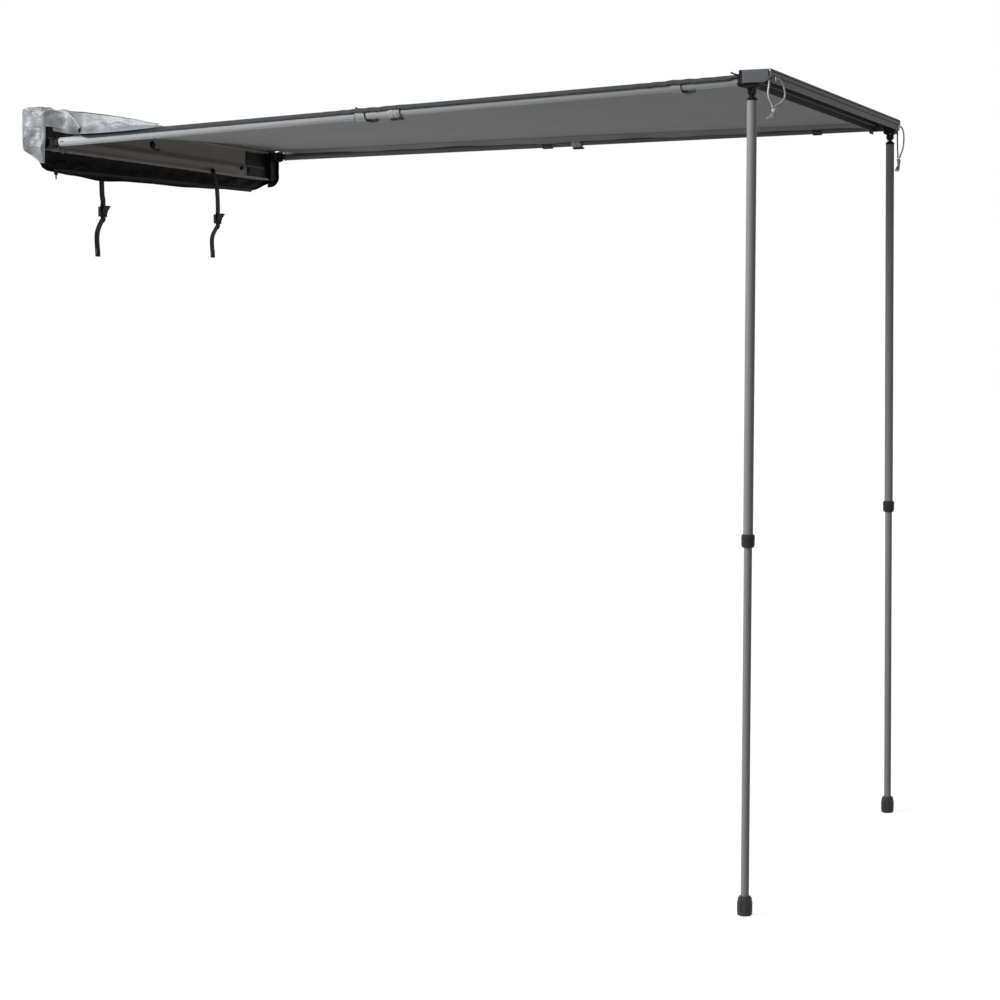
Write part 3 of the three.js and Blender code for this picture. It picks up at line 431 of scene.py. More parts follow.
# guy ropes: a short loop through each end of the rail, tied in a knot
ropeSetup = {
    "radius": 0.0024,
    "lay": 0.012,  # length in which a strand goes once round
    "lobe": 0.1,  # how deep the lay cuts, as a share of the radius
    "nearInner": [
        (-0.6676, -2.072, 0.0459), (-0.6676, -2.072, 0.041), (-0.6678, -2.072, 0.036),
        (-0.6686, -2.072, 0.031), (-0.6704, -2.072, 0.026), (-0.6732, -2.072, 0.021),
        (-0.6764, -2.0722, 0.016), (-0.6792, -2.0725, 0.0105), (-0.6806, -2.073, 0.005),
        (-0.6802, -2.0743, -0.001), (-0.6778, -2.076, -0.007), (-0.6744, -2.078, -0.0125),
        (-0.671, -2.0796, -0.017), (-0.669, -2.0805, -0.021), (-0.6684, -2.0808, -0.024),
        (-0.6684, -2.0808, -0.027),
    ],
    "nearOuter": [
        (-0.64, -2.0794, 0.045), (-0.64, -2.083, 0.045), (-0.6398, -2.087, 0.044),
        (-0.6392, -2.0905, 0.041), (-0.6384, -2.0935, 0.0365), (-0.6375, -2.0963, 0.031),
        (-0.6368, -2.0988, 0.0245), (-0.6363, -2.1008, 0.0175), (-0.6362, -2.1018, 0.0105),
        (-0.6368, -2.1016, 0.0035), (-0.6384, -2.1, -0.003), (-0.6414, -2.0974, -0.0088),
        (-0.6458, -2.094, -0.0134), (-0.651, -2.0906, -0.0168), (-0.656, -2.0878, -0.0192),
        (-0.6598, -2.0859, -0.0214), (-0.6616, -2.0854, -0.024), (-0.6616, -2.0854, -0.027),
    ],
    "farInner": [
        (0.6676, -2.072, 0.0459), (0.6676, -2.072, 0.04), (0.6676, -2.072, 0.034),
        (0.6673, -2.072, 0.028), (0.6666, -2.0722, 0.0215), (0.6654, -2.0726, 0.015),
        (0.6638, -2.073, 0.0085), (0.6618, -2.0735, 0.002), (0.6596, -2.0742, -0.0045),
        (0.6572, -2.075, -0.011), (0.6546, -2.0758, -0.0175), (0.6518, -2.0768, -0.024),
        (0.6488, -2.0778, -0.03), (0.6458, -2.0787, -0.0355), (0.6439, -2.0792, -0.0405),
        (0.6434, -2.0793, -0.046),
    ],
    "farOuter": [
        (0.656, -2.0794, 0.045), (0.656, -2.083, 0.045), (0.6562, -2.0862, 0.0434),
        (0.6568, -2.0888, 0.0396), (0.6578, -2.0906, 0.034), (0.6589, -2.0917, 0.0275),
        (0.6599, -2.0923, 0.0205), (0.6606, -2.0925, 0.0135), (0.661, -2.0925, 0.006),
        (0.6609, -2.0922, -0.0015), (0.6603, -2.0916, -0.009), (0.659, -2.0906, -0.0165),
        (0.657, -2.0892, -0.0235), (0.6543, -2.0873, -0.03), (0.6513, -2.0853, -0.036),
        (0.6494, -2.084, -0.041), (0.649, -2.0836, -0.046),
    ],
    "near": {"knot": (-0.665, -2.083, -0.0273), "lean": (-0.003, 0.0085, 0), "body": 0.014, "fray": 0.0105},
    "far": {"knot": (0.6462, -2.0813, -0.0463), "lean": (0.001, 0.005, 0), "body": 0.03, "fray": 0.0075},
    "threads": 26,
}


def addRopes(setup):
    radius = setup["radius"]
    section = laidSection(radius, setup["lobe"])
    for side in sides:
        knot = addKnot(side, setup[side], setup)
        for strand in ("inner", "outer"):
            path = smoothPath(setup[side + strand.capitalize()], 4)
            rope = piece(f"{side}_{strand}_rope", sweep(path, section, twist=2 * math.pi / setup["lay"]),
                         "cord", "rail", [f"{side}_rope_{strand}_strand"], sharp=60)


def addKnot(side, own, setup):
    radius, lobe, body, top = setup["radius"], setup["lobe"], own["body"], Vector(own["knot"])
    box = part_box(f"{side}_rope_knot")
    drop = box[1].z - box[0].z
    coil = []
    for i in range(49):
        turn = 4 * math.pi * i / 48
        reach = radius * (1.25 + 0.5 * math.sin(turn / 2))
        coil.append(top + Vector((reach * math.cos(turn), 1.1 * reach * math.sin(turn),
                                  -radius * 1.1 - body * 0.5 * i / 48)))
    core = lathe([(0, 0), (radius * 1.6, -radius * 0.6), (radius * 2.0, -body * 0.3),
                  (radius * 1.7, -body * 0.6), (radius, -body * 0.8), (0, -body * 0.85)], 20)
    shapes = [sweep(coil, laidSection(radius * 0.95, lobe, 12), twist=500),
              moved(core, Matrix.Translation(top))]
    for i in range(setup["threads"]):
        turn = i * 2.4
        spread = math.sqrt((i + 0.5) / setup["threads"]) * own["fray"]
        start = top + Vector((0.3 * spread * math.cos(turn), 0.3 * spread * math.sin(turn), -body * 0.6))
        tip = top + Vector(own["lean"]) + Vector((spread * math.cos(turn), spread * math.sin(turn),
                                                  -drop * (0.93 + 0.07 * math.cos(3.7 * i))))
        middle = (start + tip) / 2 + Vector((0.001 * math.sin(5 * i), 0.001 * math.cos(7 * i), 0))
        shapes.append(sweep(smoothPath([start, middle, tip], 3), laidSection(radius * 0.34, lobe, 6),
                            twist=900))
    return piece(f"{side}_rope_knot_and_fray", merged(*shapes), "cord", "rail",
                 [f"{side}_rope_knot"], sharp=60)


addRopes(ropeSetup)
print("ropes laid")


# tubes and twist locks, the same on arms and legs
tubeSetup = {
    "outer": 0.012, "inner": 0.010, "wall": 0.0014, "gap": 0.0003,
    "collar": 0.0165, "collarHalf": 0.016, "collarFlat": 0.55, "endRing": 0.005, "pastLock": 0.004,
    "ribs": 8, "ribHalf": 0.0009,
}


def eightSided(share):
    def swell(turn, _):
        part = (turn + math.pi / 8) % (math.pi / 4) - math.pi / 8
        return (math.cos(math.pi / 8) / math.cos(part)) ** share
    return swell


def addTelescope(name, place, start, lockAt, hidden, innerEnd, tubeLook, collarLook, bodies):
    t = tubeSetup
    outerEnd = lockAt + t["pastLock"]
    tubes = (("outer", start, outerEnd, bodies[0]), ("inner", lockAt - hidden, innerEnd, bodies[1]))
    for which, tubeLow, tubeHigh, body in tubes:
        tube = pipe(t[which] - t["wall"], t[which], tubeLow, tubeHigh)
        piece(f"{name}_{which}_tube_drawn", moved(tube, place), tubeLook, body,
              [f"{name}_{which}_tube"])
    half, r, wide, narrow = t["collarHalf"], t["collar"], t["outer"] + t["gap"], t["inner"] + t["gap"]
    low, high = lockAt - half, lockAt + half
    profile = [(wide, low), (r - 0.0035, low), (r - 0.0015, low + 0.0012), (r, low + 0.0035),
               (r, lockAt - 0.001), (r - 0.0008, lockAt), (r - 0.0008, lockAt + 0.0008), (r, lockAt + 0.002),
               (r, high - t["endRing"] - 0.001), (r - 0.0012, high - t["endRing"]),
               (r - 0.0015, high - 0.001), (r - 0.003, high), (narrow, high),
               (narrow, outerEnd + t["gap"]), (wide, outerEnd + t["gap"])]
    flats = eightSided(t["collarFlat"])

    def swell(turn, h):
        return flats(turn, h) if low + 0.002 < h < high - 0.002 else 1

    collar = lathe(profile, 64, swell, closed=True)
    rib = block((r - 0.0016, -t["ribHalf"], low + 0.006), (r + 0.0002, t["ribHalf"], lockAt - 0.003))
    ribs = [moved(rib, spinZ(i * math.pi / 4)) for i in range(t["ribs"])]
    piece(f"{name}_lock_collar_grip", moved(merged(collar, *ribs), place), collarLook, bodies[2],
          [f"{name}_lock_collar"], sharp=28)


# arms: hinged end brackets, knuckles, tubes, tips
armSetup = {
    "tubeStart": 0.025, "lockAt": 1.030, "hidden": 0.116, "tip": 1.9401, "tipPlug": 0.015,
    "eye": 0.010, "eyeHeight": 0.018, "shank": 0.012, "flange": 0.004, "flangeRadius": 0.013, "bore": 0.00015,
    "pin": 0.004, "ear": 0.013, "earThick": 0.004, "earGap": 0.0006, "earRoot": -0.025,
    "bracket": 0.032, "bracketGap": 0.0003, "bracketDeep": 0.032, "bracketCorner": 0.006,
    "ribs": (-0.036, 0.0, 0.034), "ribHalf": 0.0014, "screw": 0.0035, "rivets": (0.034, 0.040),
    "faceScrews": (-0.036, -0.008, 0.036), "flangeScrews": ((0.012, 0.008), (0.034, 0.010)),
    "upperFlange": (-0.0115, -0.0083), "lowerFlange": (-0.0175, -0.0143),
    "lever": {"half": 0.006, "proud": 0.0042, "sunk": 0.0012, "before": 0.013, "after": 0.021},
    "flangeWide": {"near": 0.058, "far": 0.125}, "flangeTop": 0.033,
    "flangeLow": {"near": -0.006, "far": -0.043}, "ties": {"rear": 0.933, "front": 1.783},
    "tieHalf": {"rear": 0.0145, "front": 0.0125},
    "hook": ((0.0, -0.0115, 0.026), (0.001, -0.018, 0.021), (0.001, -0.026, 0.024), (0.0, -0.031, 0.031),
             (0.0, -0.028, 0.038), (0.0, -0.022, 0.040)),
}


def armPlace(side):
    swing = joints[f"{side}_arm_swing"]
    axis = Vector(swing["axis"]) * (1 if side == "near" else -1)
    return frameOf(Vector(swing["pos_m"]), -Vector(joints[f"{side}_arm_extend"]["axis"]), axis)


def eyeAndNeck(radius, thick, pin, shank, tubeStart, flange):
    eye = moved(washer(pin + armSetup["bore"], radius, -thick / 2, thick / 2), ontoPin)
    neck = block((-shank / 2, -thick / 2, radius * 0.6), (shank / 2, thick / 2, tubeStart - flange))
    top = tubeStart - 0.0003
    wide = armSetup["flangeRadius"]
    collar = lathe([(0, top - flange), (wide - 0.001, top - flange), (wide, top - flange + 0.001),
                    (wide, top - 0.0006), (wide - 0.0006, top), (0, top)])
    plug = lathe([(0, top), (0.0103, top), (0.0103, tubeStart + 0.018), (0, tubeStart + 0.018)], 40)
    return merged(eye, neck, collar, plug)


def headedPin(radius, grip):
    head = radius + 0.0026
    end = grip / 2 + 0.0003
    profile = [(0, -end - 0.0025), (head - 0.001, -end - 0.0025), (head, -end - 0.0013), (head, -end),
               (radius, -end), (radius, end), (head, end), (head, end + 0.0013),
               (head - 0.001, end + 0.0025), (radius * 0.5, end + 0.0025), (radius * 0.5, end + 0.0015),
               (0, end + 0.0015)]
    return lathe(profile, 40)


def screwHead(radius, height):
    socket = radius * 0.5
    return lathe([(0, 0), (radius, 0), (radius, height * 0.5), (radius * 0.8, height * 0.9), (socket, height),
                  (socket, height * 0.35), (0, height * 0.35)], 24)


def addArm(side):
    a = armSetup
    place = armPlace(side)
    name = f"{side}_arm"
    bodies = (name, f"{name}_inner", f"{name}_collar")
    tubeLook = "armTube" if side == "near" else "shadedTube"
    knuckle = eyeAndNeck(a["eye"], a["eyeHeight"], a["pin"], a["shank"], a["tubeStart"], a["flange"])
    piece(f"{name}_root_knuckle", moved(knuckle, place), "blackPlastic", bodies[0],
          [f"{name}_knuckle"], bevel=0.0006)
    grip = a["eyeHeight"] + 2 * (a["earGap"] + a["earThick"])
    piece(f"{name}_pin_headed", moved(headedPin(a["pin"], grip), place @ ontoPin), "darkSteel", "root",
          [f"{name}_hinge_pin"])
    end = a["tip"] - a["tipPlug"]
    addTelescope(name, place, a["tubeStart"], a["lockAt"], a["hidden"], end, tubeLook, "greyPlastic", bodies)
    collar, lock, own = tubeSetup["collar"], a["lockAt"], a["lever"]
    lever = block((-own["half"], -collar - own["proud"], lock - own["before"]),
                  (own["half"], -collar + own["sunk"], lock + own["after"]))
    piece(f"{name}_lock_lever", moved(lever, place), "blackPlastic", bodies[2], bevel=0.0012)
    plug = lathe([(0, end - 0.018), (0.0083, end - 0.018), (0.0083, end + 0.0003), (0.0100, end + 0.0003),
                  (0.0100, end + 0.0127), (0.0092, end + 0.0134), (0.0085, a["tip"] - 0.001),
                  (0.007, a["tip"]), (0, a["tip"])])
    piece(f"{name}_tip_plug_turned", moved(plug, place), tubeLook, bodies[1], [f"{name}_tip_plug"])
    head = lathe([(0, 0.0009), (0.0016, 0.0006), (0.0022, 0), (0, -0.0004)], 16)
    rivets = []
    for at in a["rivets"]:
        for way in (1, -1):
            spin = Matrix.Translation((0, 0, at)) @ Matrix.Rotation(way * math.pi / 2, 4, "Y")
            rivets.append(moved(head, spin @ Matrix.Translation((0, 0, tubeSetup["outer"]))))
    piece(f"{name}_root_rivets", moved(merged(*rivets), place), "darkSteel", bodies[0])
    for which in a["ties"]:
        addTie(side, which, place)
    if side == "near":
        hang = smoothPath([place @ Vector(p) for p in a["hook"]], 6)
        piece(f"{name}_root_hook", sweep(hang, laidSection(0.0022, 0, 10)), "webbing", bodies[0])


def addTie(side, which, place):
    at, half = armSetup["ties"][which], armSetup["tieHalf"][which]
    rear = which == "rear"
    bore = tubeSetup["outer" if rear else "inner"] + 0.0005
    outline = []
    for i in range(64):  # wraps once and a bit more, so its free end lies on the first turn
        turn = -math.pi / 2 + 2 * math.pi * i / 56
        reach = bore + 0.0009 + (0.0014 if i >= 54 else 0.0)
        outline.append(Vector((reach * math.cos(turn), reach * math.sin(turn), at)))
    band = sweep(outline, flatSection(half, 0.0008), side=(0, 0, 1))
    body = f"{side}_arm" if rear else f"{side}_arm_inner"
    look = "tieWebbing" if side == "near" else "hemCloth"
    piece(f"{side}_{which}_tie_band", moved(band, place), look, body,
          [f"{side}_canopy_tie_{which}"], bevel=0.0003)
    parts = [washer(bore, bore + 0.0021, at + s * half - 0.0008, at + s * half + 0.0008)
             for s in ((1, -1) if rear else (1,))]
    if side == "near":
        low, end = -bore - 0.001, at + half
        hang = [(0.0, low + 0.002, end - 0.004), (0.002, low - 0.001, end + 0.005),
                (0.004, low - 0.003, end + 0.014), (0.001, low - 0.0035, end + 0.024),
                (-0.003, low - 0.002, end + 0.035)]
        parts.append(sweep(smoothPath(hang, 6), flatSection(0.0038, 0.0009), side=(0, 1, 0)))
    if side == "near" and rear:
        high = bore + 0.001
        tab = [(0.0, high - 0.001, at - 0.006), (0.001, high + 0.003, at - 0.010),
               (0.002, high + 0.0065, at - 0.012)]
        parts.append(sweep(smoothPath(tab, 4), flatSection(0.010, 0.0007), side=(1, 0, 0)))
    look = "webbing" if rear else "hemCloth"
    piece(f"{side}_{which}_tie_tail", moved(merged(*parts), place), look, body, bevel=0.0003)


def addEndBracket(side):
    a, s = armSetup, sides[side]
    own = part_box(f"{side}_end_bracket")
    inner = plateBox[1].x + a["bracketGap"]
    outer = s * (inner + a["bracket"])
    low, high = sorted((s * inner, outer))
    top, bottom, deep, corner = own[1].z, own[0].z, a["bracketDeep"], a["bracketCorner"]
    outline = [(0, bottom), (0, top), (-deep + corner, top), (-deep, top - corner), (-deep, bottom + corner),
               (-deep + corner, bottom)]
    parts = [moved(prism(outline, low, high), acrossFrame)]
    for z in a["ribs"]:
        parts.append(block((low + 0.004, -deep - 0.0012, z - a["ribHalf"]),
                           (high - 0.004, -deep + 0.004, z + a["ribHalf"])))
    place = armPlace(side)
    ear = a["ear"]
    for way in (1, -1):
        first = way * (a["eyeHeight"] / 2 + a["earGap"])
        bottomEar, topEar = sorted((first, first + way * a["earThick"]))
        disc = moved(washer(a["pin"] + a["bore"], ear, bottomEar, topEar, 48), ontoPin)
        parts += [moved(disc, place),
                  moved(block((-ear, bottomEar, a["earRoot"]), (ear, topEar, -0.004)), place)]
    gap = a["eyeHeight"] / 2 + a["earGap"] + 0.001
    parts.append(moved(block((-ear, -gap, a["earRoot"]), (ear, gap, -0.0128)), place))
    piece(f"{side}_end_bracket_casting", merged(*parts), "blackPlastic", "root",
          [f"{side}_end_bracket"], bevel=0.0009)
    flangeLow, flangeHigh = sorted((s * (inner - a["flangeWide"][side]), s * (inner + 0.002)))
    lowEdge = a["flangeLow"][side]
    (face, back), (lowFace, lowBack) = a["upperFlange"], a["lowerFlange"]
    tongue = [block((flangeLow, face, max(lowEdge, plateStepTop)), (flangeHigh, back, a["flangeTop"]))]
    if lowEdge < plateStepTop - 0.01:
        tongue.append(block((flangeLow, lowFace, lowEdge), (flangeHigh, lowBack, plateStepTop - 0.0065)))
    piece(f"{side}_end_bracket_flange", merged(*tongue), "blackPlastic", "root", bevel=0.0008)
    spots = [((flangeLow + x, face, z), (0, -1, 0), 0.002) for x, z in a["flangeScrews"]]
    spots += [((outer, -0.015, z), (s, 0, 0), 0.0022) for z in a["faceScrews"]]
    screws = [moved(screwHead(a["screw"], height), frameOf(at, ahead)) for at, ahead, height in spots]
    piece(f"{side}_end_bracket_screws", merged(*screws), "darkSteel", "root")


for side in sides:
    addEndBracket(side)
    addArm(side)
print("arms built")


# legs: bracket in the rail, knuckle, tubes, foot
legSetup = {
    "pivot": 0.015, "tubeStart": 0.020, "lockAt": 1.074, "hidden": 0.104,
    "sole": {"near": 1.98714, "far": 1.98758}, "footHeight": 0.048, "footTop": 0.015, "foot": 0.0186,
    "socket": 0.026, "tongue": 0.0085, "tongueThick": 0.005, "flange": 0.004, "pin": 0.003,
    "cheek": 0.009, "cheekThick": 0.0044, "gap": 0.0006,
    "blockWide": 0.033, "blockLong": 0.028, "blockLow": 0.025, "blockHigh": 0.0497, "neckTop": 0.0632,
    "neck": 0.016,
}


def addLeg(side):
    g = legSetup
    pos = Vector(joints[f"{side}_leg_fold"]["pos_m"])
    down = -Vector(joints[f"{side}_leg_extend"]["axis"])
    place = frameOf(pos, down, (0, 1, 0))  # local Z down the leg, local Y along the pivot
    name = f"{side}_leg"
    bodies = (name, f"{name}_inner", f"{name}_collar")
    knuckle = eyeAndNeck(g["tongue"], g["tongueThick"], g["pin"], 2 * g["tongue"], g["tubeStart"],
                         g["flange"])
    flareEnd = g["tubeStart"] - g["flange"] - 0.0002
    flare = lathe([(0, 0.0105), (0.0072, 0.0105), (0.0086, 0.0125), (0.0125, flareEnd), (0, flareEnd)])
    piece(f"{name}_forked_knuckle", moved(merged(knuckle, flare), place), "blackPlastic",
          bodies[0], [f"{name}_knuckle"], bevel=0.0005)
    grip = g["tongueThick"] + 2 * (g["gap"] + g["cheekThick"])
    piece(f"{name}_pin_headed", moved(headedPin(g["pin"], grip), place @ ontoPin), "darkSteel", "rail",
          [f"{name}_pivot_pin"])
    tubeEnd = g["sole"][side] - g["footHeight"] + g["socket"]
    addTelescope(name, place, g["tubeStart"], g["lockAt"], g["hidden"], tubeEnd, "legTube", "darkPlastic",
                 bodies)
    addFoot(side, place, tubeEnd)
    addLegBracket(side, pos)


def addFoot(side, place, tubeEnd):
    g = legSetup
    sole, wide, neck = g["sole"][side], g["foot"], g["footTop"]
    top = sole - g["footHeight"]
    bore = tubeSetup["inner"] + 0.0002
    profile = [(0, tubeEnd + 0.0003), (bore, tubeEnd + 0.0003), (bore, top), (neck - 0.002, top),
               (neck, top + 0.0015), (wide - 0.0014, top + 0.006), (wide - 0.0009, top + 0.012),
               (wide - 0.0009, sole - 0.012), (wide - 0.0002, sole - 0.008), (wide, sole - 0.004),
               (wide - 0.0014, sole - 0.0006), (wide - 0.003, sole), (0.011, sole), (0.010, sole - 0.0015),
               (0, sole - 0.0015)]
    flats = eightSided(0.95)
    shell = lathe(profile, 96, lambda turn, h: flats(turn, h) if top + 0.001 < h else 1)
    fin = block((wide * 0.95, -0.0011, top + 0.013), (wide + 0.0001, 0.0011, sole - 0.009))
    fins = [moved(fin, spinZ((i + 0.5) * math.pi / 4)) for i in range(8)]
    piece(f"{side}_leg_foot_moulded", moved(merged(shell, *fins), place), "rubber",
          f"{side}_leg_inner", [f"{side}_leg_foot"], bevel=0.0004, sharp=24)


def addLegBracket(side, pos):
    g = legSetup
    x, y = pos.x, pos.y
    long, wide = g["blockLong"] / 2, g["blockWide"] / 2
    neck = g["neck"] / 2
    parts = [block((x - long, y - wide, g["blockLow"]), (x + long, y + wide, g["blockHigh"])),
             block((x - long, y - neck, g["blockHigh"] - 0.002), (x + long, y + neck, g["neckTop"]))]
    turnX, turnY = (frameOf((x, y, g["pivot"]), ahead) for ahead in ((1, 0, 0), (0, 1, 0)))
    for way in (1, -1):
        first = way * (g["tongueThick"] / 2 + g["gap"])
        last = first + way * g["cheekThick"]
        parts.append(moved(washer(g["pin"] + armSetup["bore"], g["cheek"], *sorted((first, last))), turnY))
        outline = [(first, 0.003), (last, 0.001), (last, 0.004), (last + way * 0.0025, 0.0075),
                   (way * wide * 0.93, 0.0102), (first, 0.0102)]
        parts.append(moved(prism(outline[::way], -g["cheek"], g["cheek"]), turnX))
    piece(f"{side}_leg_bracket_casting", merged(*parts), "blackPlastic", "rail",
          [f"{side}_leg_bracket"], bevel=0.0006)


for side in sides:
    addLeg(side)
print("legs built")


# front rail and its caps
railSetup = {
    "depth": 0.079, "height": 0.031, "wall": 0.0022, "roof": 0.0025, "low": 0.035, "inner": -2.0,
    "groove": 0.0044, "slot": 0.004, "grooveRise": 0.022, "grooveInset": 0.0064,
    "lines": ((0.0043, 0.0069), (0.0148, 0.0177)),  # painted shade: the faces inside the grooves along its face, below its top, are painted black
    "capThick": 0.004, "capCut": (0.019, 0.011), "capCorner": 0.0022, "gap": 0.0003,
    "seat": 0.0036, "seatHeight": 0.027, "seatWide": 0.028, "seatAt": 0.65, "lugs": (0.0335, 0.0495),
    "ropeBlock": {"inside": 0.0052, "deep": 0.012, "low": 0.0462, "high": 0.0632},
}


def grooveOutline(centre, radius, slot, mouth, around=20):
    a = math.asin(slot / 2 / radius)
    arc = []
    for i in range(around + 1):
        turn = a + (2 * math.pi - 2 * a) * i / around
        arc.append((centre[0] + mouth * radius * math.cos(turn), centre[1] + radius * math.sin(turn)))
    return arc


def addRail():
    r = railSetup
    d, h, w, roof, mouth = r["depth"], r["height"], r["wall"], r["height"] - r["roof"], r["slot"] / 2
    rise = r["grooveRise"]
    before = [(0, 0), (0, rise - mouth)]
    after = [(0, rise + mouth), (0, h - 0.001), (0.001, h), (0.02, h), (0.0206, h - 0.0006),
             (0.0224, h - 0.0006), (0.023, h), (0.056, h), (0.0566, h - 0.0006), (0.0584, h - 0.0006),
             (0.059, h), (d - 0.001, h), (d, h - 0.001), (d, h - 0.0040), (d - 0.0020, h - 0.0044),
             (d - 0.0020, h - 0.0068), (d, h - 0.0072), (d, h - 0.0094), (d - 0.0006, h - 0.0116),
             (d - 0.0008, h - 0.0146), (d - 0.0024, h - 0.0149), (d - 0.0024, h - 0.0176), (d, h - 0.0180),
             (d, h - 0.0215), (d - 0.0012, h - 0.0245), (d - 0.0014, 0.0012), (d - 0.002, 0), (d - 0.0036, 0),
             (d - 0.0036, roof), (0.0404, roof), (0.0404, 0.020), (0.0386, 0.020), (0.0386, roof),
             (0.012, roof), (0.012, 0.015), (w, 0.015), (w, 0)]

    def placed(points):
        return [(r["inner"] - inset, r["low"] + height) for inset, height in points]

    groove = grooveOutline(placed([(r["grooveInset"], rise)])[0], r["groove"], r["slot"], 1)
    outline = placed(before) + groove[::-1] + placed(after)
    rail = piece("front_rail_extrusion", moved(prism(outline, railBox[0].x, railBox[1].x), acrossFrame),
                 "railMetal", "rail", ["front_rail"], sharp=25)
    top = r["low"] + h

    def inGrooveShade(face):
        return (face.center.y < r["inner"] - d + 0.003 and abs(face.normal.x) < 0.5
                and any(low < top - face.center.z < high for low, high in r["lines"]))

    # painted shade: black plastic paint on the faces inside the rail's front grooves
    secondLook(rail, "blackPlastic", inGrooveShade)


def addCap(side):
    r, s = railSetup, sides[side]
    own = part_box(f"{side}_rail_cap")
    face = railBox[1].x + r["gap"]
    outer = face + r["capThick"]
    lowX, highX = sorted((s * face, s * outer))
    low, high = r["low"], r["low"] + r["height"]
    front, back = r["inner"] - r["depth"], r["inner"] + r["gap"]
    corner, cut = r["capCorner"], r["capCut"]
    outline = [(back, low), (back, high), (front + corner, high), (front, high - corner),
               (front, low + cut[1]), (front + cut[0], low)]
    plate = moved(prism(outline[::-1], lowX, highX), acrossFrame)
    tied, blockOuter = r["ropeBlock"], r["inner"] - (r["depth"] - 0.0039)
    lowB, highB = sorted((s * (railBox[1].x - tied["inside"]), s * outer))
    plug = block((lowB, blockOuter, tied["low"]), (highB, blockOuter + tied["deep"], tied["high"]))
    rim = [(back - 0.011, low + 0.003), (back - 0.011, high - 0.003), (front + 0.007, high - 0.003),
           (front + 0.007, low + cut[1] + 0.001), (front + cut[0] + 0.003, low + 0.003)]
    lipLow, lipHigh = (0.0006, 0.0003) if s > 0 else (-0.0003, -0.0006)
    lip = moved(prism(rim[::-1], lowX + lipLow, highX + lipHigh), acrossFrame)
    piece(f"{side}_rail_cap_moulded", merged(plate, plug, lip), "slatePlastic", "rail",
          [f"{side}_rail_cap"], bevel=0.0008)
    lowS, highS = sorted((s * (r["seatAt"] - r["seatWide"] / 2), s * outer))
    seatTop = own[1].z if own[1].z < high - 0.001 else low + r["grooveRise"] - r["slot"] / 2 - r["gap"]
    seat = block((lowS, back, seatTop - r["seatHeight"]), (highS, back + r["seat"], seatTop))
    x = s * (face + r["capThick"] / 2)
    lugs = [block((x - 0.0035, back, z - 0.0022), (x + 0.0035, back + 0.0062, z + 0.0022))
            for z in r["lugs"]]
    cheekLow, cheekHigh = sorted((s * (outer - 0.001), s * (outer + 0.0007)))
    cheek = block((cheekLow, back - 0.0065, low + 0.0005), (cheekHigh, back + 0.0012, high - 0.0005))
    piece(f"{side}_arm_seat", merged(seat, cheek, *lugs), "blackPlastic", "rail", bevel=0.0007)
    screw = moved(screwHead(0.0019, 0.0011), frameOf((s * outer, front + 0.004, high - 0.004), (s, 0, 0)))
    piece(f"{side}_rail_cap_screws", screw, "steel", "rail")
    eye = lathe([(0.0026, -0.0006), (0.0046, -0.0006), (0.0046, 0.0006), (0.0036, 0.0014), (0.0026, 0.0006)],
                28, closed=True)
    start = Vector(ropeSetup[side + "Outer"][0]) + Vector((0, 0.0003, 0))
    piece(f"{side}_rope_eyelet", moved(eye, frameOf(start, (0, -1, 0))), "steel", "rail")


addRail()
for side in sides:
    addCap(side)
print("rail built")


# back plate with its bolt
plateSetup = {
    "wall": 0.008, "step": 0.006, "lip": 0.024, "lipThick": 0.003, "lipRise": 0.006,
    "groove": 0.0044, "slot": 0.004, "grooveWall": 0.0024,
    "stepCurve": ((0, 0.006), (0.0006, 0.003), (0.0018, -0.001), (0.0034, -0.005), (0.005, -0.009),
                  (0.0058, -0.012), (0.006, -0.015)),
    "knobs": ((0.47, -0.022), (0.515, -0.026)),
    "tag": ((0.006, -0.009, 0.001), (0.016, -0.0125, 0.0016), (0.028, -0.013, 0.0026),
            (0.041, -0.010, 0.0014)),
}


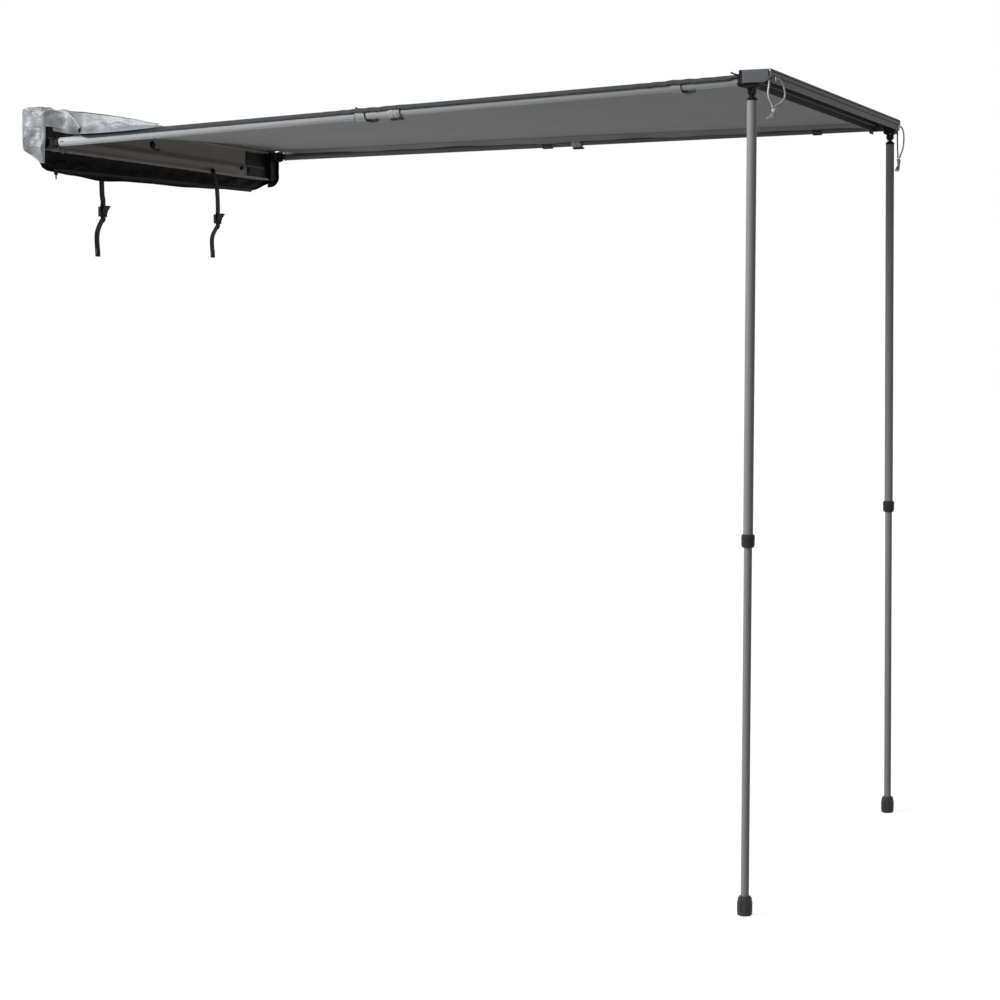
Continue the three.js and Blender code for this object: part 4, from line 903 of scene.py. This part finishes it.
def addPlate():
    p = plateSetup
    low, high = plateBox[0].z, plateBox[1].z
    wall, lip, lipIn, lipTop = p["wall"], -p["lip"], -p["lip"] + p["lipThick"], low + p["lipRise"]
    inset = wall + p["groove"] + p["step"]
    rise = high - p["grooveWall"] - p["groove"]
    front = inset + p["groove"] + p["grooveWall"]
    floor = rise - p["groove"] - p["grooveWall"]
    mouth = p["slot"] / 2
    outline = [(0, low), (0, high), (-front + 0.0008, high), (-front, high - 0.0008), (-front, rise + mouth)]
    outline += grooveOutline((-inset, rise), p["groove"], p["slot"], -1)
    outline += [(-front, rise - mouth), (-front, floor + 0.0008), (-front + 0.0008, floor), (-wall, floor)]
    outline += [(-wall - out, plateStepTop + height) for out, height in p["stepCurve"]]
    outline += [(-wall - p["step"], low + p["lipThick"]), (lipIn, low + p["lipThick"]),
                (lipIn, lipTop - 0.0006), (lipIn - 0.0006, lipTop), (lip + 0.0006, lipTop),
                (lip, lipTop - 0.0006), (lip, low + 0.0008), (lip + 0.0008, low)]
    piece("back_plate_extrusion", moved(prism(outline[::-1], plateBox[0].x, plateBox[1].x), acrossFrame),
          "plateMetal", "root", ["back_plate"], sharp=25)
    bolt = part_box("plate_bolt")
    middle = (bolt[0] + bolt[1]) / 2
    head = lathe([(0, 0), (0.0122, 0), (0.0126, 0.0008), (0.0122, 0.0014), (0.0092, 0.0014), (0.0092, 0.005),
                  (0.0078, 0.0066), (0.004, 0.0072), (0.0034, 0.0072), (0.003, 0.0032), (0, 0.0032)], 40)
    shank = lathe([(0, -0.0078), (0.004, -0.0078), (0.004, 0), (0, 0)], 32)
    spot = frameOf((middle.x, -wall, middle.z), (0, -1, 0))
    tag = sweep(smoothPath(p["tag"], 5), flatSection(0.0025, 0.0007), side=(0, 1, 0))
    piece("plate_bolt_tag", moved(tag, spot @ Matrix.Scale(-1 if spot.col[0].x < 0 else 1, 4, (1, 0, 0))),
          "webbing", "root")
    piece("plate_bolt_headed", moved(merged(head, shank), spot), "blackPlastic", "root",
          ["plate_bolt"])
    stud = lathe([(0, 0), (0.0062, 0), (0.0066, 0.0012), (0.0062, 0.005), (0.0045, 0.0068), (0, 0.0072)], 32)
    knobs = []
    for x, z in p["knobs"]:
        y = -wall - (p["step"] if z < plateStepTop - p["step"] else 0)
        knobs.append(moved(stud, frameOf((x, y, z), (0, -1, 0))))
    piece("plate_stowage_studs", merged(*knobs), "blackPlastic", "root")


addPlate()
print("plate built")


# canopy: one sheet from the plate's groove to the rail's, with its two hems
canopySetup = {
    "inset": 0.002, "narrow": 0.037, "wide": 0.075, "restRise": (0.0150, 0.0178), "bump": 0.0012,
    "edgeDroop": 0.011, "droopShare": 0.0135, "dipShare": 0.08, "armRoot": 0.055,
    "spread": 1.2, "arch": 0.004, "sag": 0.012, "thick": 0.0012, "bumpWide": 0.035, "pullWide": 0.09,
    "pulls": 150, "bead": 0.0039, "beadGap": 0.0003,
    "hem": 0.028, "hemThick": 0.0014, "stitchProud": 0.0008, "ripple": 0.0011, "hemFrom": 0.03,
    "hemClear": 0.0185, "hemLow": (0.0065, 0.001), "stitchRows": (0.14, 0.88), "stitches": 330,
    "tabAt": 0.9925,
    "tab": ((-0.0005, -0.012, 0.001), (-0.0005, -0.002, 0.0035), (-0.0005, 0.010, 0.0085)),
}


def armHeight(side, reach):
    hinge, slide = joints[f"{side}_arm_swing"]["pos_m"], joints[f"{side}_arm_extend"]["axis"]
    return hinge[2] - (reach + hinge[1]) * slide[2] / slide[1]


def canopySpan():
    c, p, r = canopySetup, plateSetup, railSetup
    clear = c["bead"] + c["beadGap"]
    return p["wall"] + p["groove"] + p["step"] + clear, -r["inner"] + r["grooveInset"] - clear


def canopyPoint(u, v, ripples=True):
    c, p, r = canopySetup, plateSetup, railSetup
    plateHalf, railHalf = plateBox[1].x, railBox[1].x
    half = plateHalf + (railHalf - plateHalf) * smoothStep(v, c["narrow"], c["wide"]) - c["inset"]
    back, front = canopySpan()
    reach = back + (front - back) * v
    startRise = plateBox[1].z - p["grooveWall"] - p["groove"]
    endRise = r["low"] + r["grooveRise"]
    level = startRise + (endRise - startRise) * v + c["arch"] * math.sin(math.pi * v)
    onArm = armHeight("near", reach) + mixed(*c["restRise"], v)
    ties = tuple(armSetup["ties"].values())
    for at in (*ties, armSetup["lockAt"]):  # the cloth is lifted by the ties and the lock
        onArm += c["bump"] * math.exp(-((reach - c["armRoot"] - at) / c["bumpWide"]) ** 2)
    backShare = 1 - smoothStep(v, 0, c["dipShare"])
    onPlate = startRise - armHeight("near", back) - c["restRise"][0]
    frontRise = endRise - armHeight("near", front) - c["restRise"][1]
    edge = onArm + onPlate * backShare + frontRise * v ** 2
    sag = c["sag"] * math.sin(math.pi * u) * math.sin(math.pi * v)
    height = level + (edge - level) * (1 - u) ** c["spread"] - sag
    over = max(0, 1 - u / c["droopShare"]) ** 2  # the near edge bends down over the arm
    height -= c["edgeDroop"] * over * smoothStep(v, c["narrow"], c["wide"]) * (1 - smoothStep(v, 0.98, 1))
    x = -half + 2 * half * u
    if ripples:
        hold = math.sin(math.pi * v) ** 0.5
        soft = noise.noise(Vector((x * 2.2, reach * 1.4, 0.3)))
        soft += 0.5 * noise.noise(Vector((x * 5, reach * 3, 2)))
        height += 2 * c["ripple"] * soft * hold * min(1, 6 * u, 6 * (1 - u))
        for edgeShare in (u, 1 - u):  # pull folds that fan in from each tie
            for at in ties:
                along = (reach - c["armRoot"] - at) / c["pullWide"]
                fade = math.exp(-along * along) * math.exp(-edgeShare * 9)
                height += c["ripple"] * fade * math.cos((reach - at) * c["pulls"])
        fold = math.exp(-v * 9) * math.sin(math.pi * min(1, 1.6 * u)) * math.sin(u * 17 + v * 9)
        height += 1.6 * c["ripple"] * fold * smoothStep(v, 0, 0.04)
    return Vector((x, -reach, height))


def addHangingHem(width):
    c = canopySetup
    share = (joints["far_arm_swing"]["pos_m"][0] - c["hemClear"] + width / 2) / width

    def pointAt(v, a):
        v = mixed(c["hemFrom"], 1 - c["hemFrom"] * 0.4, v)
        top = canopyPoint(share, v)
        low = (armHeight("far", -top.y) + mixed(*c["hemLow"], min(1, 2 * v)) + 0.0016 * math.sin(23 * v)
               + 0.001 * math.sin(61 * v))
        return Vector((top.x + 0.0012 * math.sin(47 * v) * a, top.y, mixed(top.z - 0.0012, low, a)))

    # the skirt takes the lighter copy of the canopy cloth: painted light
    return piece("far_canopy_hem_skirt", sheetShape(pointAt, 160, 4, c["hemThick"]), "skirtPaintedLight",
                 None, sharp=60)


def addCanopy():
    c = canopySetup
    main = piece("canopy_cloth", sheetShape(canopyPoint, 110, 200, c["thick"]), "canopyUnder", None,
                 ["canopy"], sharp=60)
    secondLook(main, "canopyTop", lambda face: face.normal.z > 0)
    width = 2 * (railBox[1].x - c["inset"])
    ends = canopyPoint(0.5, 0, False), canopyPoint(0.5, 1, False)
    stretched = [main]
    stitch = lathe([(0, -0.0017), (0.00035, -0.0012), (0.00035, 0.0012), (0, 0.0017)], 5)
    for side, s in sides.items():
        def hemPoint(a, v, s=s):
            share = c["hem"] / width * a
            return canopyPoint(share if s < 0 else 1 - share, v)

        hem = sheetShape(hemPoint, 4, 160, c["thick"] + c["hemThick"])
        stretched.append(piece(f"{side}_canopy_hem", hem, "hemCloth", None, sharp=50))
        stitches = []
        for row in c["stitchRows"]:
            for k in range(c["stitches"]):
                v = (k + 0.5) / c["stitches"]
                p = hemPoint(row, v)
                ahead = (hemPoint(row, min(v + 0.0005, 1)) - p).normalized()
                for face in (1, -1):
                    spot = frameOf(p + up * face * (c["thick"] / 2 + c["stitchProud"]), ahead)
                    stitches.append(moved(stitch, spot))
        stretched.append(piece(f"{side}_hem_stitches", merged(*stitches), "thread", None, sharp=60))
    stretched.append(addHangingHem(width))
    for obj in stretched:
        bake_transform(obj)
    tab = [canopyPoint(0, c["tabAt"], False) + Vector(p) for p in c["tab"]]
    piece("near_canopy_corner_tab", sweep(smoothPath(tab, 4), flatSection(0.003, 0.002), side=(1, 0, 0)),
          "webbing", "rail")
    for name, body in (("plate_bead", "root"), ("rail_bead", "rail")):
        start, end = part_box(name)
        middle = (start + end) / 2
        bead = lathe([(0, start.x), (c["bead"] - 0.0005, start.x), (c["bead"], start.x + 0.0006),
                      (c["bead"], end.x - 0.0006), (c["bead"] - 0.0005, end.x), (0, end.x)], 24)
        piece(f"{name}_welt", moved(bead, frameOf((0, middle.y, middle.z), (1, 0, 0))), "hemCloth",
              body, [name])


addCanopy()
print("canopy hung")


# cover: silver outside, black lining, hung open round the plate
coverSetup = {
    "thick": 0.0016, "seat": 0.0012, "crease": 0.026, "bigCrease": 0.045, "fine": 0.009, "small": 0.011,
    "bracket": 0.0323, "bracketSeat": 0.032, "flapTop": -0.0506, "flapNear": 0.050, "flapFar": 0.032,
    "lean": 0.018, "fold": 0.0032, "folds": 9,
    "crown": 0.0155, "crownDepth": 0.054, "crownFold": 0.0024, "crownEnd": 0.008,
    "panelBack": 0.028, "panelFront": -0.046, "panelTop": 0.058, "panelLow": (-0.050, -0.096),
    "panelFold": 0.0075, "panelRound": 0.010, "panelSlant": 0.008,
    "outside": -0.6715, "hungIn": 0.0075, "hungTurn": (0.036, 0.09),
    "drapeReach": 0.372, "drapeEnd": -0.30, "drapeBulge": 0.008, "drapeLeast": 0.008, "drapeLift": 0.004,
    "endTop": 0.0595, "endFront": -0.044, "endBack": 0.006, "endOver": 0.012, "endLift": 0.0035,
    "endFall": 0.011,
    "corner": 0.034, "farTop": 0.026, "farLow": -0.070, "farDepth": 0.042, "cornerRise": 0.026,
    "cornerShare": 0.89, "tape": 0.009, "zipNear": 0.030, "zipFar": 0.120, "tooth": 0.0022,
    "droop": (0.007, 0.014, 0.022, 0.016, 0.015, 0.016, 0.013, 0.009, 0.004, 0.0),
}
# what hangs down beside the near arm, each sheet between a top and a low line in the plane across X
hungSetup = {
    # the fold takes the darker copy of the silver cloth as painted shade, the side takes the lighter copy as
    # painted light
    "fold": {
        "top": ((-0.010, 0.056), (-0.030, 0.055), (-0.061, 0.051), (-0.099, 0.041), (-0.128, 0.023),
                (-0.158, -0.001)),
        "low": ((-0.010, 0.006), (-0.030, 0.008), (-0.066, 0.006), (-0.095, -0.004), (-0.124, -0.011),
                (-0.152, -0.014)),
        "out": 0.0075, "depth": 0.006, "crease": 0.034, "look": "silverCloth", "flat": (0.165, 0.038),
    },
    "side": {
        "top": ((-0.060, 0.053), (-0.110, 0.047), (-0.156, 0.040), (-0.23, 0.030), (-0.30, 0.019),
                (-0.35, 0.010), (-0.40, 0.0)),
        "low": ((-0.060, -0.004), (-0.110, -0.0125), (-0.156, -0.0165), (-0.23, -0.0160), (-0.30, -0.0135),
                (-0.35, -0.0105), (-0.40, -0.0065)),
        "out": 0.0035, "depth": 0.0028, "crease": 0.05, "look": "flapCloth", "flat": (0.36, 0.042),
    },
    "lining": {
        "top": ((-0.010, 0.040), (-0.040, 0.036), (-0.080, 0.020), (-0.115, 0.000)),
        "low": ((-0.010, -0.022), (-0.040, -0.0215), (-0.080, -0.0195), (-0.115, -0.018)),
        "out": 0.0022, "depth": 0.001, "crease": 0.05, "look": "blackCloth", "flat": (0.11, 0.045),
    },
}


def crumple(p, size):
    q = Vector(p) / size
    ridge = 1 - 2 * abs(noise.noise(q))
    cell = noise.voronoi(q * 0.8)[0]
    return 0.6 * ridge + 0.8 * min(cell[1] - cell[0], 0.7)


def addSheet(name, pointAt, grid, look, stands=()):
    cloth = piece(name, sheetShape(pointAt, *grid, coverSetup["thick"]), look, "root", stands, sharp=50)


def flapEdge(u):
    c = coverSetup
    corner = c["cornerRise"] * smoothStep(u, c["cornerShare"], 1)
    return c["flapTop"] - c["flapNear"] - (c["flapFar"] - c["flapNear"]) * u + corner


def addEndPanel():
    c = coverSetup
    nearest = plateBox[1].x + c["bracket"] + c["seat"]

    def pointAt(u, v):
        # the top corners are drawn in
        rounded = c["panelRound"] * (max(0, 1 - 5 * u) ** 2 + max(0, 5 * u - 4) ** 2)
        y = mixed(c["panelBack"], c["panelFront"] + c["panelSlant"] * v, u)
        z = mixed(c["panelTop"] - rounded, mixed(*c["panelLow"], u) + 0.5 * rounded, v)
        at = Vector((0.4, y, z))
        ridge = 1 - 2 * abs(noise.noise(at / c["bigCrease"]))
        relief = 0.35 + 0.8 * ridge + 0.2 * crumple(at + up, 0.021)
        held = min(1, 8 * u + 0.25, 8 * (1 - u) + 0.25)
        return Vector((-nearest - c["panelFold"] * max(0.02, relief * held), y, z))

    addSheet("cover_end_panel_cloth", pointAt, (64, 96), "silverCloth",
             ["cover_near_panel"])
    edge = [pointAt(1, i / 24) + Vector((0.0002, -0.0016, 0)) for i in range(25)]
    piece("cover_end_piping", sweep(edge, laidSection(0.001, 0, 8)), "silverCloth", "root")


def heightOn(line, y):
    for a, b in zip(line, line[1:]):
        if b.y <= y:
            return mixed(a.z, b.z, min(max((y - a.y) / (b.y - a.y), 0), 1))
    return line[-1].z


def canopyEdge(y):
    back, front = canopySpan()
    share = max((-y - back) / (front - back), 0.0)
    return share, canopyPoint(0, share, False).x


def addUpperFlap():
    c = coverSetup
    half, top = plateBox[1].x, plateBox[1].z
    front = plateSetup["wall"] + plateSetup["step"] + 2 * plateSetup["groove"] + plateSetup["grooveWall"]

    def archPoint(u, v):
        turn = math.pi * v
        crease = math.sin(2 * c["folds"] * math.pi * u + 2 * turn)
        crease += math.sin(3.3 * c["folds"] * math.pi * u - turn)
        end = c["crownEnd"] * max(0, 1 - 8 * u)
        rise = (c["crown"] - end + c["crownFold"] * crease / 2) * math.sin(turn) ** 0.7
        x = mixed(-half, half, u)
        y = -front + 0.002 + c["crownDepth"] * v + 0.001 * crease * math.sin(turn)
        z = top + 0.0016 + rise
        at = Vector((x * 0.45, y, z))
        bump = crumple(at, c["crease"]) * 0.0042 + crumple(at + up, c["fine"]) * 0.0012
        return Vector((x, y, z + bump * math.sin(turn)))

    addSheet("cover_upper_flap_cloth", archPoint, (300, 26), "flapCloth",
             ["cover_upper_flap"])
    lines = {which: [smoothPath([(0, *p) for p in own[edge]], 8) for edge in ("top", "low")]
             for which, own in hungSetup.items()}

    def drapePoint(u, v):
        reach = c["drapeLeast"] + c["drapeReach"] * (1 - u) ** 2.4
        y = -front - reach * v
        share, edge = canopyEdge(y)
        x = mixed(edge - 0.003, c["drapeEnd"], u ** 1.3)
        over = canopyPoint(max(0, (x - edge) / (-2 * edge)), share, False).z
        lift = c["drapeLift"] + c["drapeBulge"] * math.sin(math.pi * v) * u
        base = mixed(top + 0.0012, over + lift, smoothStep(v, 0, 0.16))
        base = max(base, over + (heightOn(lines["side"][0], y) - over) * math.exp(-(x - edge) / 0.07))
        at = Vector((x, y, 0.7))
        bump = 0.004 * crumple(at, 0.034) + 0.001 * crumple(at, c["fine"])
        return Vector((x, y, base + bump * smoothStep(u, 0, 0.1) * (1 - 0.5 * u) * smoothStep(v, 0, 0.3)))

    addSheet("cover_upper_flap_corner", drapePoint, (110, 60), "flapCloth")

    def hungPoint(which):
        own, (high, low) = hungSetup[which], lines[which]

        def pointAt(u, v):
            k = u * (len(high) - 1)
            i = min(int(k), len(high) - 2)
            at = high[i].lerp(high[i + 1], k - i).lerp(low[i].lerp(low[i + 1], k - i), v)
            relief = own["depth"] * (0.8 + crumple(at + Vector((0.3, 0, 0)), own["crease"]))
            relief += 0.001 * crumple(at, c["small"])
            edge = mixed(c["outside"] + c["hungIn"], canopyEdge(at.y)[1], smoothStep(-at.y, *c["hungTurn"]))
            relief *= math.sin(math.pi * (0.12 + 0.8 * v))
            return Vector((edge - own["out"] - relief, at.y, at.z))
        return pointAt

    for which, own in hungSetup.items():
        addSheet(f"cover_upper_flap_{which}", hungPoint(which), (90, 30), own["look"])

    def endPoint(u, v):
        x = mixed(c["outside"] - 0.0005, -half + c["endOver"], u)
        y = mixed(c["panelBack"] - c["endBack"], c["endFront"], v)
        rise = mixed(c["endTop"], top + c["endLift"] + c["crown"] * 0.55, u)
        fall = c["endFall"] * smoothStep(abs(v - 0.5), 0.3, 0.5) * (1 - 0.4 * u)
        return Vector((x, y, rise - fall + 0.0022 * crumple(Vector((x, y, 0.4)), 0.022)))

    addSheet("cover_upper_flap_end", endPoint, (40, 50), "flapCloth")
    foldPoint = hungPoint("fold")
    # a pale cord along the fold's top edge: painted highlight on the crest
    ridge = [foldPoint(0.35 + 0.65 * i / 20, 0) + Vector((-0.001, -0.0008, 0.0008)) for i in range(21)]
    piece("cover_fold_crest_highlight", sweep(ridge, laidSection(0.0013, 0, 8)), "crestHighlightCloth", "root")


def addLowerFlap():
    c = coverSetup
    half = plateBox[1].x + c["bracketSeat"]

    def pointAt(u, v):
        wave = math.sin(c["folds"] * math.pi * u) + math.sin(1.7 * c["folds"] * math.pi * u + 1) / 2
        far = smoothStep(u, 0.93, 1) * v
        k = min(u * (len(c["droop"]) - 1), len(c["droop"]) - 1.001)
        droop = mixed(c["droop"][int(k)], c["droop"][int(k) + 1], smoothStep(k % 1, 0, 1))
        x = mixed(-half + 0.018 * v, half, u)
        y = -plateSetup["wall"] - c["lean"] * v ** 1.5 + c["fold"] * wave * v * (1 - v) + 0.0055 * v
        low = flapEdge(u) - droop + 0.006 * smoothStep(1 - u, 0.975, 1) ** 2
        z = mixed(c["flapTop"], low, v)
        at = Vector((x * 0.5, z, 0.2))
        bump = 0.0032 * crumple(at, 0.030) + 0.0008 * crumple(at, c["small"])
        slack = 0.004 * math.sin(61 * u + 5 * v) * smoothStep(u, 0.72, 0.9) * (1 - far)
        free = math.sin(math.pi * min(1, 0.15 + 0.75 * v)) * (1 - far) * (1 - smoothStep(v, 0.6, 0.85))
        return Vector((x, y - (bump + slack * 0.6) * free, z))

    addSheet("cover_lower_flap_cloth", pointAt, (320, 22), "blackCloth",
             ["cover_lower_flap"])


def addFarPanel():
    c = coverSetup
    nearest = plateBox[1].x + c["bracket"] + c["seat"]

    def pointAt(u, v):
        z = mixed(c["farTop"], c["farLow"], v)
        below = max(0, c["corner"] - (z - c["farLow"]))
        inset = c["corner"] - math.sqrt(max(0, c["corner"] ** 2 - below ** 2))
        y = -(c["farDepth"] - inset) * u
        bulge = math.sin(3 * math.pi * v) * math.sin(math.pi * u)
        bump = 0.0016 * max(0, crumple(Vector((0.1, y, z)), 0.022))
        return Vector((nearest + 0.0014 * (1 + bulge) + bump, y, z))

    addSheet("cover_far_panel_cloth", pointAt, (40, 72), "blackCloth",
             ["cover_far_panel"])


def addZip():
    c = coverSetup
    half, tooth = plateBox[1].x + c["bracketSeat"], c["tooth"]
    start, end = c["zipNear"] - plateBox[1].x, plateBox[1].x - c["zipFar"]
    y = -plateSetup["wall"] - c["lean"]

    def topAt(x):
        return flapEdge((x + half) / (2 * half)) - 0.0008

    def tapePoint(u, v):
        x = mixed(start, end, u)
        return Vector((x, y + 0.0004 * math.sin(90 * u), topAt(x) - c["tape"] * v))

    piece("cover_zip_tape", sheetShape(tapePoint, 160, 3, 0.0012), "webbing", "root",
          ["cover_zip"])
    teeth = []
    for k in range(int((end - start) / (2 * tooth))):
        x = start + 2 * tooth * (k + 0.5)
        z = topAt(x) - c["tape"]
        teeth.append(block((x - tooth / 2, y - 0.0013, z - 0.0006), (x + tooth / 2, y + 0.0013, z + 0.0022)))
    piece("cover_zip_teeth", merged(*teeth), "blackPlastic", "root")
    low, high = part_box("zip_slider")
    x, top = (low.x + high.x) / 2, high.z
    outline = [(-0.006, 0.0), (0.006, 0.0), (0.0048, -0.0062), (0.002, -0.007), (-0.002, -0.007),
               (-0.0048, -0.0062)]
    turn = frameOf((x, y, top), (0, -1, 0))
    body = merged(moved(prism(outline, -0.0030, -0.0012), turn), moved(prism(outline, 0.0012, 0.0030), turn),
                  block((x - 0.001, y - 0.002, top - 0.0065), (x + 0.001, y + 0.002, top - 0.001)))
    wire = [(x, y - 0.0028, top - 0.002), (x, y - 0.0052, top - 0.004), (x, y - 0.003, top - 0.0072),
            (x, y, top - 0.0085)]
    loop = sweep(smoothPath(wire, 5), laidSection(0.0007, 0, 8))
    pull = prism([(-0.003, 0), (0.003, 0), (0.0024, -0.012), (-0.0024, -0.012)], -0.0008, 0.0008)
    pull = moved(pull, frameOf((x, y, low.z + 0.0120), (0, -1, 0)))
    piece("cover_zip_slider", merged(body, loop, pull), "blackPlastic", "zip_slider", ["zip_slider"],
          bevel=0.0003)


addEndPanel()
addUpperFlap()
addLowerFlap()
addFarPanel()
addZip()
print("cover draped")


# compression straps with cam buckles
strapSetup = {
    "wide": 0.025, "thick": 0.0017, "lever": 0.022, "tailSetback": 0.020, "grooveStep": 0.0028,
    "frameHalf": 0.017, "frameHigh": 0.014, "frameDeep": 0.0045, "stitches": 9, "stitchStep": 0.0022,
    "near": {"top": [(-0.002, -0.0506), (-0.002, -0.0666), (-0.006, -0.1506)], "buckle": -0.203,
             "tail": -0.330},
    "far": {"top": [(-0.0255, -0.044), (-0.0275, -0.05), (-0.0416, -0.1)], "buckle": -0.194, "tail": -0.312},
}


def addStrap(side):
    g = strapSetup
    own = g[side]
    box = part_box(f"{side}_strap_buckle")
    x = (box[0].x + box[1].x) / 2
    hang, buckle, tail = own["top"][-1][0], own["buckle"], own["tail"]
    back = hang + g["tailSetback"]
    line = own["top"] + [(hang, buckle + 0.028), (hang, buckle), (hang, buckle - 0.0196),
                         (hang + 0.004, buckle - 0.028), (back, (buckle + tail) / 2), (back - 0.0018, tail)]
    path = smoothPath([(x + 0.003 * math.sin(9 * k), y, z) for k, (y, z) in enumerate(line)], 10)
    w, t = g["wide"] / 2, g["thick"] / 2
    section = [(-w, -t * 0.6), (-w + 0.0006, -t), (w - 0.0006, -t), (w, -t * 0.6), (w, t * 0.6),
               (w - 0.0006, t), (-w + 0.0006, t), (-w, t * 0.6)]
    piece(f"{side}_strap_webbing", sweep(path, section, side=(1, 0, 0)), "webbing", "root",
          [f"{side}_strap"], sharp=50)
    stitched = []
    for row in (-1, 1):
        seam = x + row * (w - 0.003)
        for k in range(g["stitches"]):
            z = tail + 0.004 + g["stitchStep"] * k
            stitched.append(block((seam - 0.0004, back - 0.0044, z),
                                  (seam + 0.0004, back + 0.0006, z + 0.0014)))
    piece(f"{side}_strap_end_stitches", merged(*stitched), "thread", "root")
    half, high, deep = g["frameHalf"], g["frameHigh"], g["frameDeep"]
    bars = [block((low, hang - deep, buckle - high), (low + 0.003, hang + deep, buckle + high))
            for low in (x + half - 0.003, x - half)]
    bars += [block((x - half, hang - deep, z - 0.0022), (x + half, hang - 0.0016, z + 0.0022))
             for z in (buckle - high + 0.0022, buckle + 0.001, buckle + high - 0.0022)]
    bars += [block((x - half, hang + 0.0016, z - 0.002), (x + half, hang + deep, z + 0.002))
             for z in (buckle - 0.009, buckle + 0.009)]
    piece(f"{side}_buckle_frame", merged(*bars), "blackPlastic", "root", [f"{side}_strap_buckle"],
          bevel=0.0007)
    tilt = frameOf((x, hang - deep - 0.0005, buckle - 0.001), (0, -0.62, 0.78), (1, 0, 0))
    barrel = lathe([(0, -0.0125), (0.0042, -0.0125), (0.0042, 0.0125), (0, 0.0125)], 28)
    cam = [block((-0.0016, -0.0125, 0.0), (0.0016, 0.0125, g["lever"])),
           moved(barrel, frameOf((0, 0, 0.001), (0, 1, 0), (1, 0, 0)))]
    for k in range(3):
        z = g["lever"] * 0.55 + g["grooveStep"] * k
        cam.append(block((-0.0022, -0.010, z), (-0.0014, 0.010, z + 0.0012)))
    piece(f"{side}_buckle_cam", moved(merged(*cam), tilt), "blackPlastic", "root", bevel=0.0005)


for side in sides:
    addStrap(side)
print("straps hung")


# stage: pale floor, soft light, white beyond
stageSetup = {
    "floor": -1.972, "floorSize": 60, "floorColour": 0.38, "farColour": 0.3, "floorGlow": 0.86,
    "fade": (2.6, 6.5), "middle": (0, -1.5), "world": 0.1,
    "lamps": {
        "key": {"place": (-3.5, 0.9, 1.4), "aim": (-0.4, -1.0, -0.4), "size": 2.2, "power": 150},
        "under": {"place": (-1.8, 1.3, -1.3), "aim": (-0.1, -0.5, 0.1), "size": 1.5, "power": 19},
        "top": {"place": (-1.0, -0.5, 6.0), "aim": (0, -1.0, 0), "size": 5.0, "power": 190},
    },
}


def addLamp(name, spec):
    data = bpy.data.lights.new(name, "AREA")
    data.size, data.energy = spec["size"], spec["power"]
    lamp = bpy.data.objects.new(name, data)
    lamp.location = spec["place"]
    lamp.rotation_mode = "QUATERNION"
    lamp.rotation_quaternion = (Vector(spec["aim"]) - Vector(spec["place"])).to_track_quat("-Z", "Y")
    bpy.context.scene.collection.objects.link(lamp)


def seenDirectly(tree):
    path = tree.nodes.new("ShaderNodeLightPath")
    total = path.outputs["Is Camera Ray"]
    for other in ("Is Glossy Ray", "Is Transmission Ray"):
        total = addNode(tree, "Math", "Value", {0: total, 1: path.outputs[other]}, operation="MAXIMUM")
    return total


def addStage(setup):
    size = setup["floorSize"]
    mesh = bpy.data.meshes.new("floor")
    corners = [(-size, -size, 0), (size, -size, 0), (size, size, 0), (-size, size, 0)]
    mesh.from_pydata(corners, [], [(0, 1, 2, 3)])
    floor = bpy.data.objects.new("floor", mesh)
    floor.location = (0, 0, setup["floor"])
    bpy.context.scene.collection.objects.link(floor)
    mat = bpy.data.materials.new("floorPaint")
    mat.use_nodes = True
    tree = mat.node_tree
    where = addNode(tree, "TexCoord", "Object")
    away = addNode(tree, "VectorMath", "Value", {0: where, 1: (*setup["middle"], 0)}, operation="DISTANCE")
    start, end = setup["fade"]
    fade = addNode(tree, "MapRange", "Result", {"Value": away, "From Min": start, "From Max": end},
                   interpolation_type="SMOOTHSTEP")
    tone = addNode(tree, "MapRange", "Result",
                   {"Value": fade, "To Min": setup["floorColour"], "To Max": setup["farColour"]})
    beyond = addNode(tree, "MapRange", "Result", {"Value": fade, "To Min": setup["floorGlow"], "To Max": 1.0})
    glow = addNode(tree, "Math", "Value", {0: seenDirectly(tree), 1: beyond}, operation="MULTIPLY")
    feed(tree, tree.nodes["Principled BSDF"], {
        "Base Color": tone, "Roughness": 0.9, "Specular IOR Level": 0.1, "Emission Color": (1, 1, 1, 1),
        "Emission Strength": glow})
    mesh.materials.append(mat)
    world = bpy.data.worlds.new("world")
    bpy.context.scene.world = world
    world.use_nodes = True
    tree = world.node_tree
    beyond = {"Value": seenDirectly(tree), "To Min": setup["world"], "To Max": 1.0}
    level = addNode(tree, "MapRange", "Result", beyond)
    feed(tree, tree.nodes["Background"], {"Color": (1, 1, 1, 1), "Strength": level})
    for name, spec in setup["lamps"].items():
        addLamp(name, spec)
    bpy.context.scene.view_settings.view_transform = "Standard"


addStage(stageSetup)
print("stage set")


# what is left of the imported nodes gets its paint
leftover = {
    "lock": "blackPlastic", "bracket": "blackPlastic", "cap": "slatePlastic", "foot": "rubber",
    "pin": "darkSteel", "canopy": "hemCloth", "cover_silver": "silverCloth", "cover_black": "blackCloth",
    "webbing": "webbing", "rope": "cord", "plate": "plateMetal", "rail": "railMetal", "tube": "armTube",
}
slotOf = {part["node"]: part["material_slot"] for part in frame["record"]["subparts"]}
for name, node in frame["nodes"].items():
    if not node.hide_render:
        node.data.materials.clear()
        node.data.materials.append(paints[leftover[slotOf[name]]])
